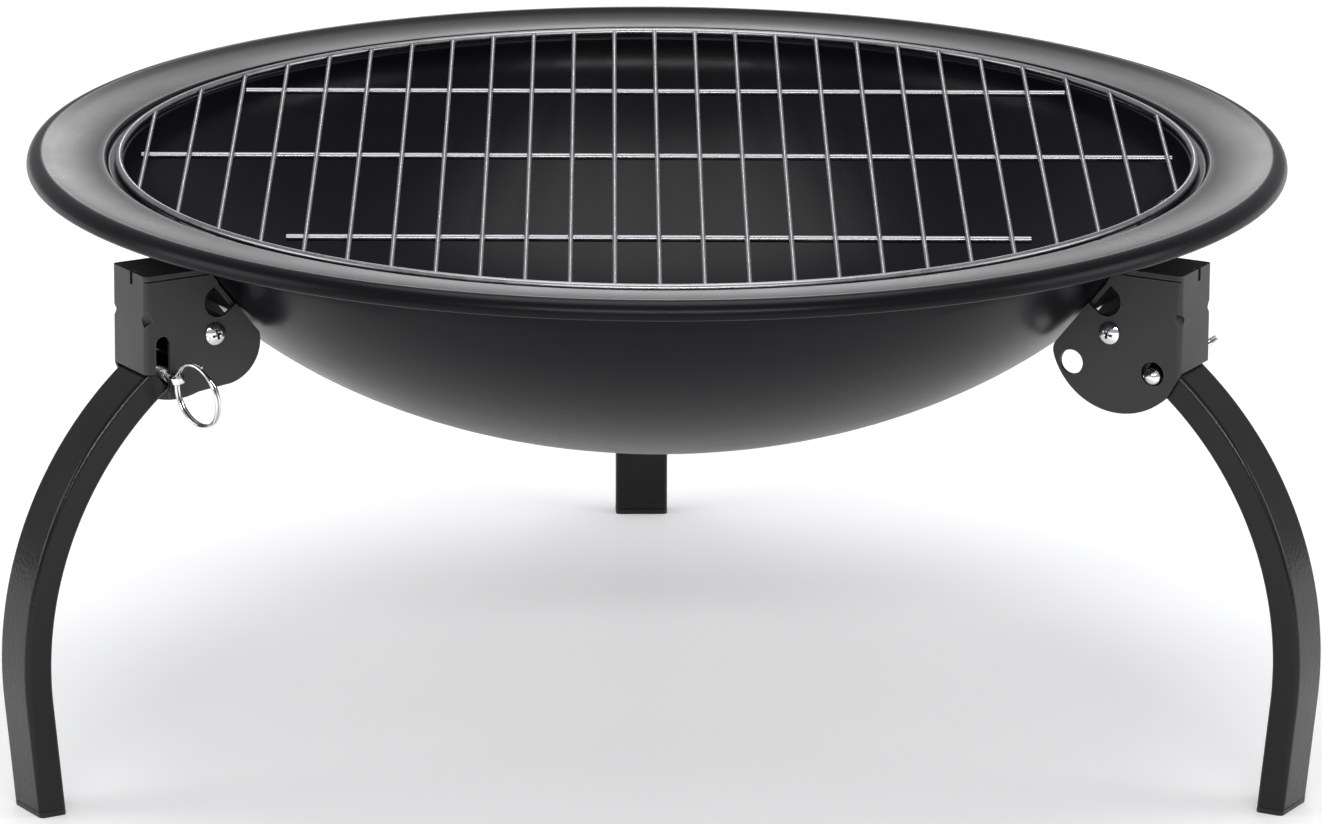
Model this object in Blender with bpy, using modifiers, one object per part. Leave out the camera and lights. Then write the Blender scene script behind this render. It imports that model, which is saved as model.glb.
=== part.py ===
"""Portable fire pit: a pressed steel bowl on three folding legs, with a lift-off cooking grate.

Metres, +Z up. The floor is z = 0. The bowl's axis is vertical, and each leg, with its bracket, pivot,
lock pin and pull ring, is modelled once in a station frame: x away from the bowl's axis, y along the
brim (counter-clockwise seen from above), z up. Three stations stand 120 degrees apart.
"""

import math

import bmesh
import bpy
from mathutils import Matrix, Vector

# Gap between pieces that touch, and facets of a round piece
GAP = 0.0003
BOWL_STEPS = 60
ROUND_STEPS = 16
SMALL_STEPS = 10

# Bowl: one pressing. Heights are those of its upper face
BRIM_RADIUS = 0.280
BOWL_SHEET = 0.0012
BOWL_BOTTOM_HEIGHT = 0.1312
BOWL_CURVE_RADIUS = 0.2558
BOWL_CURVE_HEIGHT = 0.1801
BOWL_CURVE_END_RADIUS = 0.226
BOWL_CURVE_POINTS = 7
SEAT_INNER_RADIUS = 0.2368
SEAT_OUTER_RADIUS = 0.2440
SEAT_HEIGHT = 0.2536
LIP_HEIGHT = 0.2564
LIP_SLOPE_RUN = 0.0010
BRIM_RISE = 0.0046
HEM_HEIGHT = 0.2516
HEM_WIDTH = 0.0028
WALL_FILLET = 0.026
SEAT_FILLET = 0.0012
LIP_FILLET = 0.0016
BRIM_FILLET = 0.0070
HEM_FILLET = 0.0012

# Cooking grate: a ring, wires over cross bars, welded
GRATE_RING_RADIUS = 0.2391
GRATE_RING_WIRE = 0.0035
GRATE_WIRE = 0.0020
GRATE_WIRE_PITCH = 0.0189
GRATE_WIRES_EACH_SIDE = 12
GRATE_BAR = 0.0030
GRATE_BARS = ((-0.1470, 0.1600), (0.0, 0.2295), (0.1245, 0.1880))
GRATE_WELD = 0.0004
GRATE_TURN = math.radians(-0.9)

# Stations and their brackets: folded 2 mm sheet
STATION_ANGLES = (math.radians(90), math.radians(210), math.radians(330))
BRACKET_SHEET = 0.0020
BRACKET_WIDTH = 0.0300
BRACKET_REACH = 0.2660
BRACKET_TOP = 0.2360
BRACKET_WEB_BOTTOM = 0.1925
BRACKET_TOUCH_HEIGHT = 0.2220
BRACKET_FOLD_RADIUS = 0.0022
FLANGE_BELOW_TOUCH = 0.0080
LARGE_EAR_CENTRE = (0.2363, 0.2040)
LARGE_EAR_RADIUS = 0.0327
LARGE_EAR_HEEL = (0.2600, 0.1806)
LARGE_EAR_TOE_FILLET = 0.0060
SMALL_EAR_CENTRE = (0.2279, 0.2014)
SMALL_EAR_RADIUS = 0.0182
SMALL_EAR_HEEL = (0.2535, 0.1805)
SMALL_EAR_SLOT_CENTRE = 0.2574
SMALL_EAR_SLOT_WIDTH = 0.0068
SMALL_EAR_SLOT_TOP = 0.2088
FOLD_DENT_HEIGHT = 0.2165
FOLD_DENT_SIZE = 0.0048
TOP_RELIEF_WIDTH = 0.0018
TOP_RELIEF_DEPTH = 0.0060

# Pivot, and the two lock holes, seen from it
PIVOT = (0.2320, 0.2068)
LOCK_HOLE_OFFSET = (0.0207, -0.0158)
SECOND_HOLE_OFFSET = (-0.0182, -0.0154)
LOCK_HOLE_DIAMETER = 0.0110
PIVOT_SLEEVE_DIAMETER = 0.0064
PIVOT_HEAD_DIAMETER = 0.0098
PIVOT_HEAD_HEIGHT = 0.0024
PIVOT_SCREW_DIAMETER = 0.0040
PIVOT_SCREW_LENGTH = 0.0200

# Leg: bent rectangular tube with an end plug
LEG_WIDTH = 0.0250
LEG_DEPTH = 0.0130
LEG_WALL = 0.0012
LEG_CORNER = 0.0022
LEG_BEND_RADIUS = 0.1550
LEG_PAST_PIVOT = 0.0070
LEG_BEND_POINTS = 15
FOOT_RADIUS = 0.3120
FOOT_LEAN = math.radians(6)
FOOT_STRAIGHT = 0.0500
PLUG_FLANGE = 0.0025
PLUG_DEPTH = 0.0120
PLUG_FIT = 0.0004

# Lock pin, its spring and its pull ring
PIN_NOSE_DIAMETER = 0.0082
PIN_NOSE_END = 0.0030
PIN_TIP_PROUD = 0.0024
PIN_STEM_DIAMETER = 0.0036
PIN_EYE_RADIUS = 0.0033
PIN_EYE_THICKNESS = 0.0028
PIN_EYE_HOLE = 0.0044
PIN_EYE_STAND_OFF = 0.0037
PIN_ROLLS = (math.radians(8), math.radians(8), math.radians(50))
LEG_SLOT_CLEARANCE = 0.0004
SPRING_WIRE = 0.0006
SPRING_TURNS = 4
SPRING_POINTS_PER_TURN = 9
RING_RADIUS = 0.0140
RING_WIRE = 0.0016
RING_TURN_SPACING = 0.0014
RING_DROOP = math.radians(20)
RING_TURNS = (math.radians(10), math.radians(10), math.radians(3))

# Bolts that hold a bracket to the bowl
BOLT_DIAMETER = 0.0050
BOLT_SPACING = 0.0140
BOLT_ABOVE_TOUCH = 0.0070
BOLT_HEAD_RADIUS = 0.0060
BOLT_HEAD_HEIGHT = 0.0026
BOLT_HEAD_OVER_CURVE = 0.0010
BOLT_END_PROUD = 0.0012
NUT_ACROSS_FLATS = 0.0080
NUT_HEIGHT = 0.0040
NUT_ACCESS_RADIUS = 0.0058

PAINT = ("satin_black_paint", (0.030, 0.030, 0.032), 0.42, 0.0)
CHROME = ("bright_chrome", (0.78, 0.79, 0.80), 0.16, 1.0)
ZINC = ("zinc_plating", (0.60, 0.61, 0.62), 0.30, 1.0)
PLASTIC = ("black_plastic", (0.018, 0.018, 0.019), 0.55, 0.0)


def clear_scene():
    for item in list(bpy.data.objects):
        bpy.data.objects.remove(item, do_unlink=True)
    for group in list(bpy.data.collections):
        bpy.data.collections.remove(group)


def new_collection(name):
    group = bpy.data.collections.new(name)
    bpy.context.scene.collection.children.link(group)
    return group


def material(spec):
    name, colour, roughness, metallic = spec
    found = bpy.data.materials.get(name)
    if found:
        return found
    made = bpy.data.materials.new(name)
    made.use_nodes = True
    shader = made.node_tree.nodes["Principled BSDF"]
    shader.inputs["Base Color"].default_value = (*colour, 1.0)
    shader.inputs["Roughness"].default_value = roughness
    shader.inputs["Metallic"].default_value = metallic
    return made


def new_object(name, data, group):
    item = bpy.data.objects.new(name, data)
    group.objects.link(item)
    return item


def as_cutter(item):
    item.hide_render = True
    item.display_type = "WIRE"
    return item


def baked(item):
    """The object's evaluated mesh in its parent's frame, welded. The object is removed."""
    bpy.context.view_layer.update()
    evaluated = item.evaluated_get(bpy.context.evaluated_depsgraph_get())
    mesh = bpy.data.meshes.new_from_object(evaluated)
    mesh.transform(item.matrix_world)
    shape = bmesh.new()
    shape.from_mesh(mesh)
    bmesh.ops.remove_doubles(shape, verts=shape.verts, dist=1e-6)
    bmesh.ops.recalc_face_normals(shape, faces=shape.faces)
    shape.to_mesh(mesh)
    shape.free()
    bpy.data.objects.remove(item, do_unlink=True)
    return mesh


def solid(name, item, group):
    """An object made a mesh, so that Booleans can use it."""
    mesh = baked(item)
    mesh.name = name
    return new_object(name, mesh, group)


def boolean(target, other, operation):
    step = target.modifiers.new(operation.lower(), "BOOLEAN")
    step.object = other
    step.operation = operation
    step.solver = "EXACT"


def cut(target, *cutters):
    for cutter in cutters:
        boolean(target, as_cutter(cutter), "DIFFERENCE")


def arc(centre, radius, start, end, points):
    """Points on a circle, from one angle to another, both ends counted."""
    angles = [start + (end - start) * i / (points - 1) for i in range(points)]
    return [(centre[0] + radius * math.cos(a), centre[1] + radius * math.sin(a)) for a in angles]


def filleted(corners, step=math.radians(40)):
    """An open path through corners given as (x, y, fillet radius), in facets of about one step."""
    path = [corners[0][:2]]
    for before, corner, after in zip(corners, corners[1:], corners[2:]):
        here = Vector(corner[:2])
        back = (Vector(before[:2]) - here).normalized()
        on = (Vector(after[:2]) - here).normalized()
        half = back.angle(on) / 2
        if corner[2] <= 0:
            path.append(tuple(here))
            continue
        centre = here + (back + on).normalized() * corner[2] / math.sin(half)
        first = here + back * corner[2] / math.tan(half) - centre
        last = here + on * corner[2] / math.tan(half) - centre
        turn = first.angle_signed(last)
        facets = max(1, round(abs(turn) / step))
        for i in range(facets + 1):
            path.append(tuple(centre + Matrix.Rotation(-turn * i / facets, 2) @ first))
    path.append(corners[-1][:2])
    return path


def poly_curve(name, points, group, closed=False):
    """A curve through points; two numbers each lie in the curve's own plane."""
    data = bpy.data.curves.new(name, "CURVE")
    data.dimensions = "3D" if len(points[0]) == 3 else "2D"
    spline = data.splines.new("POLY")
    spline.points.add(len(points) - 1)
    for spot, point in zip(spline.points, points):
        spot.co = (*point, *(0.0,) * (3 - len(point)), 1.0)
    spline.use_cyclic_u = closed
    return new_object(name, data, group)


def plate(name, outline, low, high, group):
    """A flat outline in the station's x-z plane, as thick as from y = low to y = high."""
    item = poly_curve(name, outline, group, closed=True)
    item.data.fill_mode = "BOTH"
    item.data.extrude = (high - low) / 2
    item.rotation_euler.x = math.pi / 2
    item.location.y = (low + high) / 2
    return solid(name, item, group)


def box(name, low, high, group):
    mesh = bpy.data.meshes.new(name)
    shape = bmesh.new()
    bmesh.ops.create_cube(shape, size=1.0)
    size = Vector(high) - Vector(low)
    bmesh.ops.scale(shape, vec=size, verts=shape.verts)
    bmesh.ops.translate(shape, vec=(Vector(high) + Vector(low)) / 2, verts=shape.verts)
    shape.to_mesh(mesh)
    shape.free()
    return new_object(name, mesh, group)


def rod(name, start, end, radius, group, steps=ROUND_STEPS):
    """A closed cylinder between two points."""
    start, end = Vector(start), Vector(end)
    mesh = bpy.data.meshes.new(name)
    shape = bmesh.new()
    bmesh.ops.create_cone(
        shape, cap_ends=True, segments=steps, radius1=radius, radius2=radius, depth=(end - start).length
    )
    turn = (end - start).to_track_quat("Z", "Y").to_matrix().to_4x4()
    bmesh.ops.transform(shape, matrix=Matrix.Translation((start + end) / 2) @ turn, verts=shape.verts)
    shape.to_mesh(mesh)
    shape.free()
    return new_object(name, mesh, group)


def turned(name, profile, group, steps=ROUND_STEPS):
    """A profile of (radius, height) pairs, outer side from top to bottom, turned about its own z."""
    mesh = bpy.data.meshes.new(name)
    points = [(radius, 0.0, height) for radius, height in profile]
    mesh.from_pydata(points, [(i, i + 1) for i in range(len(points) - 1)], [])
    item = new_object(name, mesh, group)
    screw = item.modifiers.new("turn", "SCREW")
    screw.axis = "Z"
    screw.steps = screw.render_steps = steps
    screw.use_merge_vertices = True
    screw.merge_threshold = 0.00001
    return item


def dome(radius, height, top, points=3):
    """The outer side of a low dome, from its crown on the axis down to its edge."""
    bulge = (radius**2 + height**2) / (2 * height)
    end = math.asin(radius / bulge)
    centre = top - bulge
    return [
        (bulge * math.sin(end * i / points), centre + bulge * math.cos(end * i / points))
        for i in range(points + 1)
    ]


def bowl_curve(angle):
    """A point of the bowl's upper face, counted from its lowest point, and the slope there."""
    point = (
        BOWL_CURVE_RADIUS * math.sin(angle),
        BOWL_BOTTOM_HEIGHT + BOWL_CURVE_HEIGHT * (1 - math.cos(angle)),
    )
    along = Vector((BOWL_CURVE_RADIUS * math.cos(angle), BOWL_CURVE_HEIGHT * math.sin(angle))).normalized()
    return point, along


def bowl_profile():
    """The bowl's upper face from its centre out to the hem under the brim."""
    end = math.asin(BOWL_CURVE_END_RADIUS / BOWL_CURVE_RADIUS)
    curve = [bowl_curve(end * i / BOWL_CURVE_POINTS)[0] for i in range(BOWL_CURVE_POINTS)]
    last, along = bowl_curve(end)
    wall_turn = last[1] + (SEAT_INNER_RADIUS - last[0]) * along.y / along.x
    corners = (
        (*last, 0),
        (SEAT_INNER_RADIUS, wall_turn, WALL_FILLET),
        (SEAT_INNER_RADIUS, SEAT_HEIGHT, SEAT_FILLET),
        (SEAT_OUTER_RADIUS, SEAT_HEIGHT, SEAT_FILLET),
        (SEAT_OUTER_RADIUS + LIP_SLOPE_RUN, LIP_HEIGHT, LIP_FILLET),
        (BRIM_RADIUS, LIP_HEIGHT + BRIM_RISE, BRIM_FILLET),
        (BRIM_RADIUS, HEM_HEIGHT, HEM_FILLET),
        (BRIM_RADIUS - HEM_WIDTH, HEM_HEIGHT, 0),
    )
    return curve + filleted(corners)


def station_bolt_line():
    """Where a bracket touches the bowl, the direction up the wall and the one out of it."""
    angle = math.acos(1 - (BRACKET_TOUCH_HEIGHT - BOWL_BOTTOM_HEIGHT) / BOWL_CURVE_HEIGHT)
    inside, up = bowl_curve(angle)
    out = Vector((up.y, -up.x))
    return Vector(inside) + out * BOWL_SHEET, up, out


def bolt_places():
    """The bolts' points on the bowl's outer face, and their common direction, in the station frame."""
    touch, up, out = station_bolt_line()
    centre = touch + up * BOLT_ABOVE_TOUCH
    sides = (-BOLT_SPACING / 2, BOLT_SPACING / 2)
    return [Vector((centre.x, y, centre.y)) for y in sides], Vector((out.x, 0, out.y))


def make_bowl(parts, cutters, stations):
    bowl = turned("fire_bowl", bowl_profile(), parts, BOWL_STEPS)
    wall = bowl.modifiers.new("wall", "SOLIDIFY")
    wall.thickness = BOWL_SHEET
    wall.offset = -1
    wall.use_even_offset = True
    places, out = bolt_places()
    for number, station in enumerate(stations, 1):
        for side, place in zip("ab", places):
            hole = rod(
                f"bolt_hole_{number}{side}",
                place - out * 0.01,
                place + out * 0.01,
                BOLT_DIAMETER / 2 + GAP,
                cutters,
                SMALL_STEPS,
            )
            hole.parent = station
            cut(bowl, hole)
    return bowl


def make_grate(parts, cutters):
    """The ring with its wires and cross bars, joined as welded. Its origin is on the bowl's axis."""
    ring_height = SEAT_HEIGHT + GAP + GRATE_RING_WIRE / 2
    wire_height = ring_height
    bar_height = wire_height - (GRATE_WIRE + GRATE_BAR) / 2 + GRATE_WELD
    centre = (GRATE_RING_RADIUS, ring_height)
    section = arc(centre, GRATE_RING_WIRE / 2, math.pi / 2, -1.5 * math.pi, 7)
    ring = turned("cooking_grate", section, cutters, BOWL_STEPS)
    grate = solid("cooking_grate", ring, parts)
    rods = new_collection("grate_rods")
    for index in range(-GRATE_WIRES_EACH_SIDE, GRATE_WIRES_EACH_SIDE + 1):
        x = index * GRATE_WIRE_PITCH
        half = math.sqrt(GRATE_RING_RADIUS**2 - x**2)
        rod(f"wire_{index}", (x, -half, wire_height), (x, half, wire_height), GRATE_WIRE / 2, rods, 6)
    for number, (y, half) in enumerate(GRATE_BARS, 1):
        rod(f"bar_{number}", (-half, y, bar_height), (half, y, bar_height), GRATE_BAR / 2, rods, 6)
    weld = grate.modifiers.new("weld", "BOOLEAN")
    weld.operand_type = "COLLECTION"
    weld.collection = rods
    weld.operation = "UNION"
    weld.solver = "EXACT"
    for item in rods.objects:
        as_cutter(item)
    return grate


def large_ear_outline():
    """Side view of the whole bracket with its larger ear, on the lock pin's nose side."""
    touch, up, out = station_bolt_line()
    edge = touch + out * GAP
    top = edge + up * (BRACKET_TOP - edge.y) / up.y
    centre = Vector(LARGE_EAR_CENTRE)
    offset = edge - centre
    along = -offset.dot(up)
    reach = math.sqrt(LARGE_EAR_RADIUS**2 - (offset.dot(out)) ** 2)
    toe = edge + up * (along - reach)
    heel = Vector(LARGE_EAR_HEEL)
    start = math.atan2(heel.y - centre.y, heel.x - centre.x)
    end = -(math.atan2(centre.y - toe.y, toe.x - centre.x) % (2 * math.pi))
    lobe = arc(centre, LARGE_EAR_RADIUS, start, end + 0.16, 11)
    rounded = filleted((lobe[-1], (*toe, LARGE_EAR_TOE_FILLET), tuple(top)))[1:-1]
    web = [(BRACKET_REACH, BRACKET_TOP), (BRACKET_REACH, BRACKET_WEB_BOTTOM)]
    return web + lobe + rounded + [tuple(top)]


def small_ear_outline():
    """Side view of the smaller ear, on the pull ring's side, up to past the bracket's top."""
    touch, up, out = station_bolt_line()
    edge = touch - out * BRACKET_SHEET
    top = edge + up * (BRACKET_TOP + BRACKET_SHEET - edge.y) / up.y
    centre = Vector(SMALL_EAR_CENTRE)
    low = (centre.x, centre.y - SMALL_EAR_RADIUS)
    lobe = arc(centre, SMALL_EAR_RADIUS, -math.pi / 2 - 0.15, -math.pi - 0.55, 7)
    half = SMALL_EAR_SLOT_WIDTH / 2
    slot_centre = (SMALL_EAR_SLOT_CENTRE, SMALL_EAR_SLOT_TOP - half)
    slot = arc(slot_centre, half, 0, math.pi, 7)
    foot = [
        (SMALL_EAR_SLOT_CENTRE + half, BRACKET_WEB_BOTTOM),
        *slot,
        (SMALL_EAR_SLOT_CENTRE - half, SMALL_EAR_HEEL[1]),
        low,
    ]
    outer = BRACKET_REACH + BRACKET_SHEET
    return [(outer, top.y), (outer, BRACKET_WEB_BOTTOM), *foot, *lobe, tuple(top)]


def channel_outline():
    """Side view of the space between the ears, open downwards."""
    touch, up, out = station_bolt_line()
    face = touch + out * (GAP + BRACKET_SHEET)
    roof = BRACKET_TOP - BRACKET_SHEET
    top = face + up * (roof - face.y) / up.y
    low = face - up * FLANGE_BELOW_TOUCH
    floor = BRACKET_WEB_BOTTOM - 0.06
    inner = BRACKET_REACH - BRACKET_SHEET
    away = low - out * 0.02
    under_web = [(inner, BRACKET_WEB_BOTTOM), (BRACKET_REACH + 0.01, BRACKET_WEB_BOTTOM)]
    under_ears = [(BRACKET_REACH + 0.01, floor), (away.x - 0.02, floor)]
    return [(inner, roof), *under_web, *under_ears, tuple(away), tuple(low), tuple(top)]


def make_bracket(cutters):
    """The folded bracket's mesh in the station frame."""
    half = BRACKET_WIDTH / 2
    inner = half - BRACKET_SHEET
    bracket = plate("bracket_block", large_ear_outline(), -half, half, cutters)
    touch, up, out = station_bolt_line()
    low_x, low_z = touch.x - 0.03, BRACKET_WEB_BOTTOM - 0.03
    plan = box("bracket_plan", (low_x, -half, low_z), (BRACKET_REACH, half, BRACKET_TOP + 0.01), cutters)
    fold = plan.modifiers.new("fold", "BEVEL")
    fold.width = BRACKET_FOLD_RADIUS
    fold.segments = 3
    fold.limit_method = "WEIGHT"
    weights = plan.data.attributes.new("bevel_weight_edge", "FLOAT", "EDGE")
    for edge in plan.data.edges:
        ends = [plan.data.vertices[i].co for i in edge.vertices]
        upright = abs(ends[0].z - ends[1].z) > BRACKET_WIDTH
        if upright and min(end.x for end in ends) > BRACKET_REACH - GAP:
            weights.data[edge.index].value = 1.0
    boolean(bracket, as_cutter(plan), "INTERSECT")
    channel = plate("bracket_channel", channel_outline(), -inner, inner, cutters)
    trim = box(
        "small_ear_trim",
        (low_x, inner - GAP, low_z),
        (BRACKET_REACH + 0.01, half + 0.01, BRACKET_TOP + 0.02),
        cutters,
    )
    shape = plate("small_ear_shape", small_ear_outline(), inner - 0.01, half + 0.02, cutters)
    cut(trim, shape)
    cut(bracket, channel, trim)
    make_bracket_holes(bracket, cutters)
    mesh = baked(bracket)
    mesh.name = "leg_bracket"
    return mesh


def make_bracket_holes(bracket, cutters):
    """Pivot and lock holes, bolt holes, nut access, dents in the folds and the relief at the top."""
    half = BRACKET_WIDTH / 2
    beyond = half + 0.01
    pivot = Vector((PIVOT[0], 0, PIVOT[1]))
    side = Vector((0, beyond, 0))
    sleeve_hole = PIVOT_SLEEVE_DIAMETER / 2 + GAP
    cut(bracket, rod("pivot_hole", pivot - side, pivot + side, sleeve_hole, cutters))
    for name, offset in (("lock_hole", LOCK_HOLE_OFFSET), ("second_hole", SECOND_HOLE_OFFSET)):
        centre = pivot + Vector((offset[0], 0, offset[1]))
        cut(bracket, rod(name, centre - side, centre, LOCK_HOLE_DIAMETER / 2, cutters))
    pin = Vector((lock_pin_axis().x, 0, lock_pin_axis().y))
    cut(bracket, rod("stem_hole", pin, pin + side, PIN_STEM_DIAMETER / 2 + GAP, cutters, SMALL_STEPS))
    places, out = bolt_places()
    for name, place in zip(("flange_hole_a", "flange_hole_b"), places):
        hole = BOLT_DIAMETER / 2 + GAP
        cut(bracket, rod(name, place - out * 0.01, place + out * 0.01, hole, cutters, SMALL_STEPS))
    access = places[0] + out * (BRACKET_SHEET + NUT_HEIGHT / 2)
    for name, sign in (("nut_access_a", -1), ("nut_access_b", 1)):
        start = Vector((access.x, sign * (half - BRACKET_SHEET - GAP), access.z))
        end = Vector((access.x, sign * beyond, access.z))
        cut(bracket, rod(name, start, end, NUT_ACCESS_RADIUS, cutters))
        corner = Vector((BRACKET_REACH, sign * half, FOLD_DENT_HEIGHT))
        dent = box(f"fold_dent_{name[-1]}", -Vector((1, 1, 1)) * FOLD_DENT_SIZE / 2,
                   Vector((1, 1, 1)) * FOLD_DENT_SIZE / 2, cutters)
        dent.location = corner
        dent.rotation_euler = (math.radians(35 * sign), math.radians(20), math.radians(45))
        cut(bracket, dent)
    relief = box(
        "top_relief",
        (BRACKET_REACH - BRACKET_SHEET - GAP, -TOP_RELIEF_WIDTH / 2, BRACKET_TOP - TOP_RELIEF_DEPTH),
        (BRACKET_REACH + 0.01, TOP_RELIEF_WIDTH / 2, BRACKET_TOP + 0.01),
        cutters,
    )
    cut(bracket, relief)


def lock_pin_axis():
    """The lock pin rests low in its hole."""
    drop = (LOCK_HOLE_DIAMETER - PIN_NOSE_DIAMETER) / 2 - GAP
    return Vector((PIVOT[0] + LOCK_HOLE_OFFSET[0], PIVOT[1] + LOCK_HOLE_OFFSET[1] - drop))


def leg_bend_centre():
    """Centre of the leg's bend, from where its straight foot ends."""
    end = Vector((FOOT_RADIUS + FOOT_STRAIGHT * math.sin(FOOT_LEAN), FOOT_STRAIGHT * math.cos(FOOT_LEAN)))
    return end - LEG_BEND_RADIUS * Vector((math.cos(FOOT_LEAN), -math.sin(FOOT_LEAN)))


def rounded_rectangle(width, height, radius, points=2):
    corners = []
    for turn, (sx, sy) in enumerate(((1, 1), (-1, 1), (-1, -1), (1, -1))):
        centre = (sx * (width / 2 - radius), sy * (height / 2 - radius))
        corners += arc(centre, radius, turn * math.pi / 2, (turn + 1) * math.pi / 2, points)
    return corners


def leg_tube(name, depth, width, corner, path, group):
    """A rectangular section carried along a path in the station's x-z plane, ends open."""
    section = poly_curve(f"{name}_section", rounded_rectangle(depth, width, corner), group, closed=True)
    section.data.fill_mode = "NONE"
    tube = poly_curve(name, path, group)
    tube.data.fill_mode = "NONE"
    tube.data.bevel_mode = "OBJECT"
    tube.data.bevel_object = section
    tube.rotation_euler.x = math.pi / 2
    made = solid(name, tube, group)
    bpy.data.objects.remove(section, do_unlink=True)
    return made


def make_leg(cutters):
    """The leg's mesh in a frame whose origin is the pivot."""
    centre = leg_bend_centre()
    pivot = Vector(PIVOT)
    from_centre = pivot - centre
    top = math.atan2(from_centre.y, from_centre.x) + LEG_PAST_PIVOT / LEG_BEND_RADIUS
    bend = arc(centre, LEG_BEND_RADIUS, top, -FOOT_LEAN, LEG_BEND_POINTS)
    below = Vector((-math.sin(FOOT_LEAN), -math.cos(FOOT_LEAN))) * (FOOT_STRAIGHT + 0.01)
    path = bend + [tuple(Vector(bend[-1]) + below)]
    leg = leg_tube("leg_tube", LEG_DEPTH, LEG_WIDTH, LEG_CORNER, path, cutters)
    wall = leg.modifiers.new("wall", "SOLIDIFY")
    wall.thickness = LEG_WALL
    wall.offset = -1
    wall.use_even_offset = True
    reach = FOOT_RADIUS + 0.05
    floor_cut = box("leg_floor_cut", (0.2, -0.03, -0.03), (reach, 0.03, PLUG_FLANGE + GAP), cutters)
    hole = Vector((pivot.x, 0, pivot.y))
    side = Vector((0, LEG_WIDTH, 0))
    pivot_hole = rod("leg_pivot_hole", hole - side, hole + side, PIVOT_SLEEVE_DIAMETER / 2 + GAP, cutters)
    cut(leg, floor_cut, pivot_hole, lock_slot(cutters))
    mesh = baked(leg)
    mesh.transform(Matrix.Translation(-hole))
    mesh.name = "leg"
    return mesh


def lock_slot(cutters):
    """The leg's lock hole, run on about the pivot to the tube's outer side."""
    pivot, pin = Vector(PIVOT), lock_pin_axis()
    arm = pin - pivot
    radius = arm.length
    start = math.atan2(arm.y, arm.x)
    half = PIN_NOSE_DIAMETER / 2 + LEG_SLOT_CLEARANCE
    run = LEG_DEPTH / radius
    end = start + run
    outside = arc(pivot, radius + half, start, end, 5)
    inside = arc(pivot, radius - half, end, start, 5)
    round_end = arc(pin, half, start + math.pi, start + 2 * math.pi, 9)[1:-1]
    return plate("leg_lock_slot", outside + inside + round_end, -LEG_WIDTH, LEG_WIDTH, cutters)


def make_plug(cutters):
    """The end plug's mesh in the pivot's frame: a flange under the tube and a stub inside it."""
    lean = Vector((math.sin(FOOT_LEAN), math.cos(FOOT_LEAN)))
    foot = Vector((FOOT_RADIUS, 0))
    inner_depth = LEG_DEPTH - 2 * (LEG_WALL + PLUG_FIT)
    inner_width = LEG_WIDTH - 2 * (LEG_WALL + PLUG_FIT)
    corner = LEG_CORNER - LEG_WALL
    stub_path = [tuple(foot - lean * 0.01), tuple(foot + lean * (PLUG_FLANGE + PLUG_DEPTH))]
    flange_path = [tuple(foot - lean * 0.01), tuple(foot + lean * 0.02)]
    plug = leg_tube("plug_stub", inner_depth, inner_width, corner, stub_path, cutters)
    flange = leg_tube("plug_flange", LEG_DEPTH, LEG_WIDTH, LEG_CORNER, flange_path, cutters)
    for item in (plug, flange):
        close_ends(item)
    above = box("above_flange", (0.25, -0.03, PLUG_FLANGE), (0.38, 0.03, 0.08), cutters)
    cut(flange, above)
    boolean(plug, as_cutter(flange), "UNION")
    cut(plug, box("below_floor", (0.25, -0.03, -0.05), (0.38, 0.03, 0.0), cutters))
    mesh = baked(plug)
    mesh.transform(Matrix.Translation((-PIVOT[0], 0, -PIVOT[1])))
    mesh.name = "leg_foot_plug"
    return mesh


def close_ends(item):
    shape = bmesh.new()
    shape.from_mesh(item.data)
    bmesh.ops.holes_fill(shape, edges=shape.edges)
    bmesh.ops.recalc_face_normals(shape, faces=shape.faces)
    shape.to_mesh(item.data)
    shape.free()


def across(mesh, name):
    """A mesh turned about z, laid so that its own z points along the station's y."""
    mesh.transform(Matrix.Rotation(-math.pi / 2, 4, "X"))
    mesh.name = name
    return mesh


def make_pivot_sleeve(cutters):
    """Barrel nut: a domed head outside the small ear and a bored barrel through both ears."""
    face = BRACKET_WIDTH / 2 + GAP
    barrel = PIVOT_SLEEVE_DIAMETER / 2
    bore = PIVOT_SCREW_DIAMETER / 2 + GAP
    end = -BRACKET_WIDTH / 2 + BRACKET_SHEET / 4
    bore_top = end + PIVOT_SCREW_LENGTH + 2 * GAP
    head = dome(PIVOT_HEAD_DIAMETER / 2, PIVOT_HEAD_HEIGHT * 0.7, face + PIVOT_HEAD_HEIGHT)
    profile = head + [
        (PIVOT_HEAD_DIAMETER / 2, face),
        (barrel, face),
        (barrel, end),
        (bore, end),
        (bore, bore_top),
        (0.0, bore_top),
    ]
    return across(baked(turned("pivot_sleeve", profile, cutters)), "pivot_sleeve")


def make_pivot_screw(cutters):
    """Screw driven into the barrel nut from outside the large ear."""
    face = -BRACKET_WIDTH / 2 - GAP
    end = -BRACKET_WIDTH / 2 + BRACKET_SHEET / 4 + PIVOT_SCREW_LENGTH
    shank = PIVOT_SCREW_DIAMETER / 2
    crown = [
        (radius, -height)
        for radius, height in dome(PIVOT_HEAD_DIAMETER / 2, PIVOT_HEAD_HEIGHT * 0.7, PIVOT_HEAD_HEIGHT - face)
    ]
    profile = [(0.0, end), (shank, end), (shank, face), (PIVOT_HEAD_DIAMETER / 2, face), *reversed(crown)]
    return across(baked(turned("pivot_screw", profile, cutters)), "pivot_screw")


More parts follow.
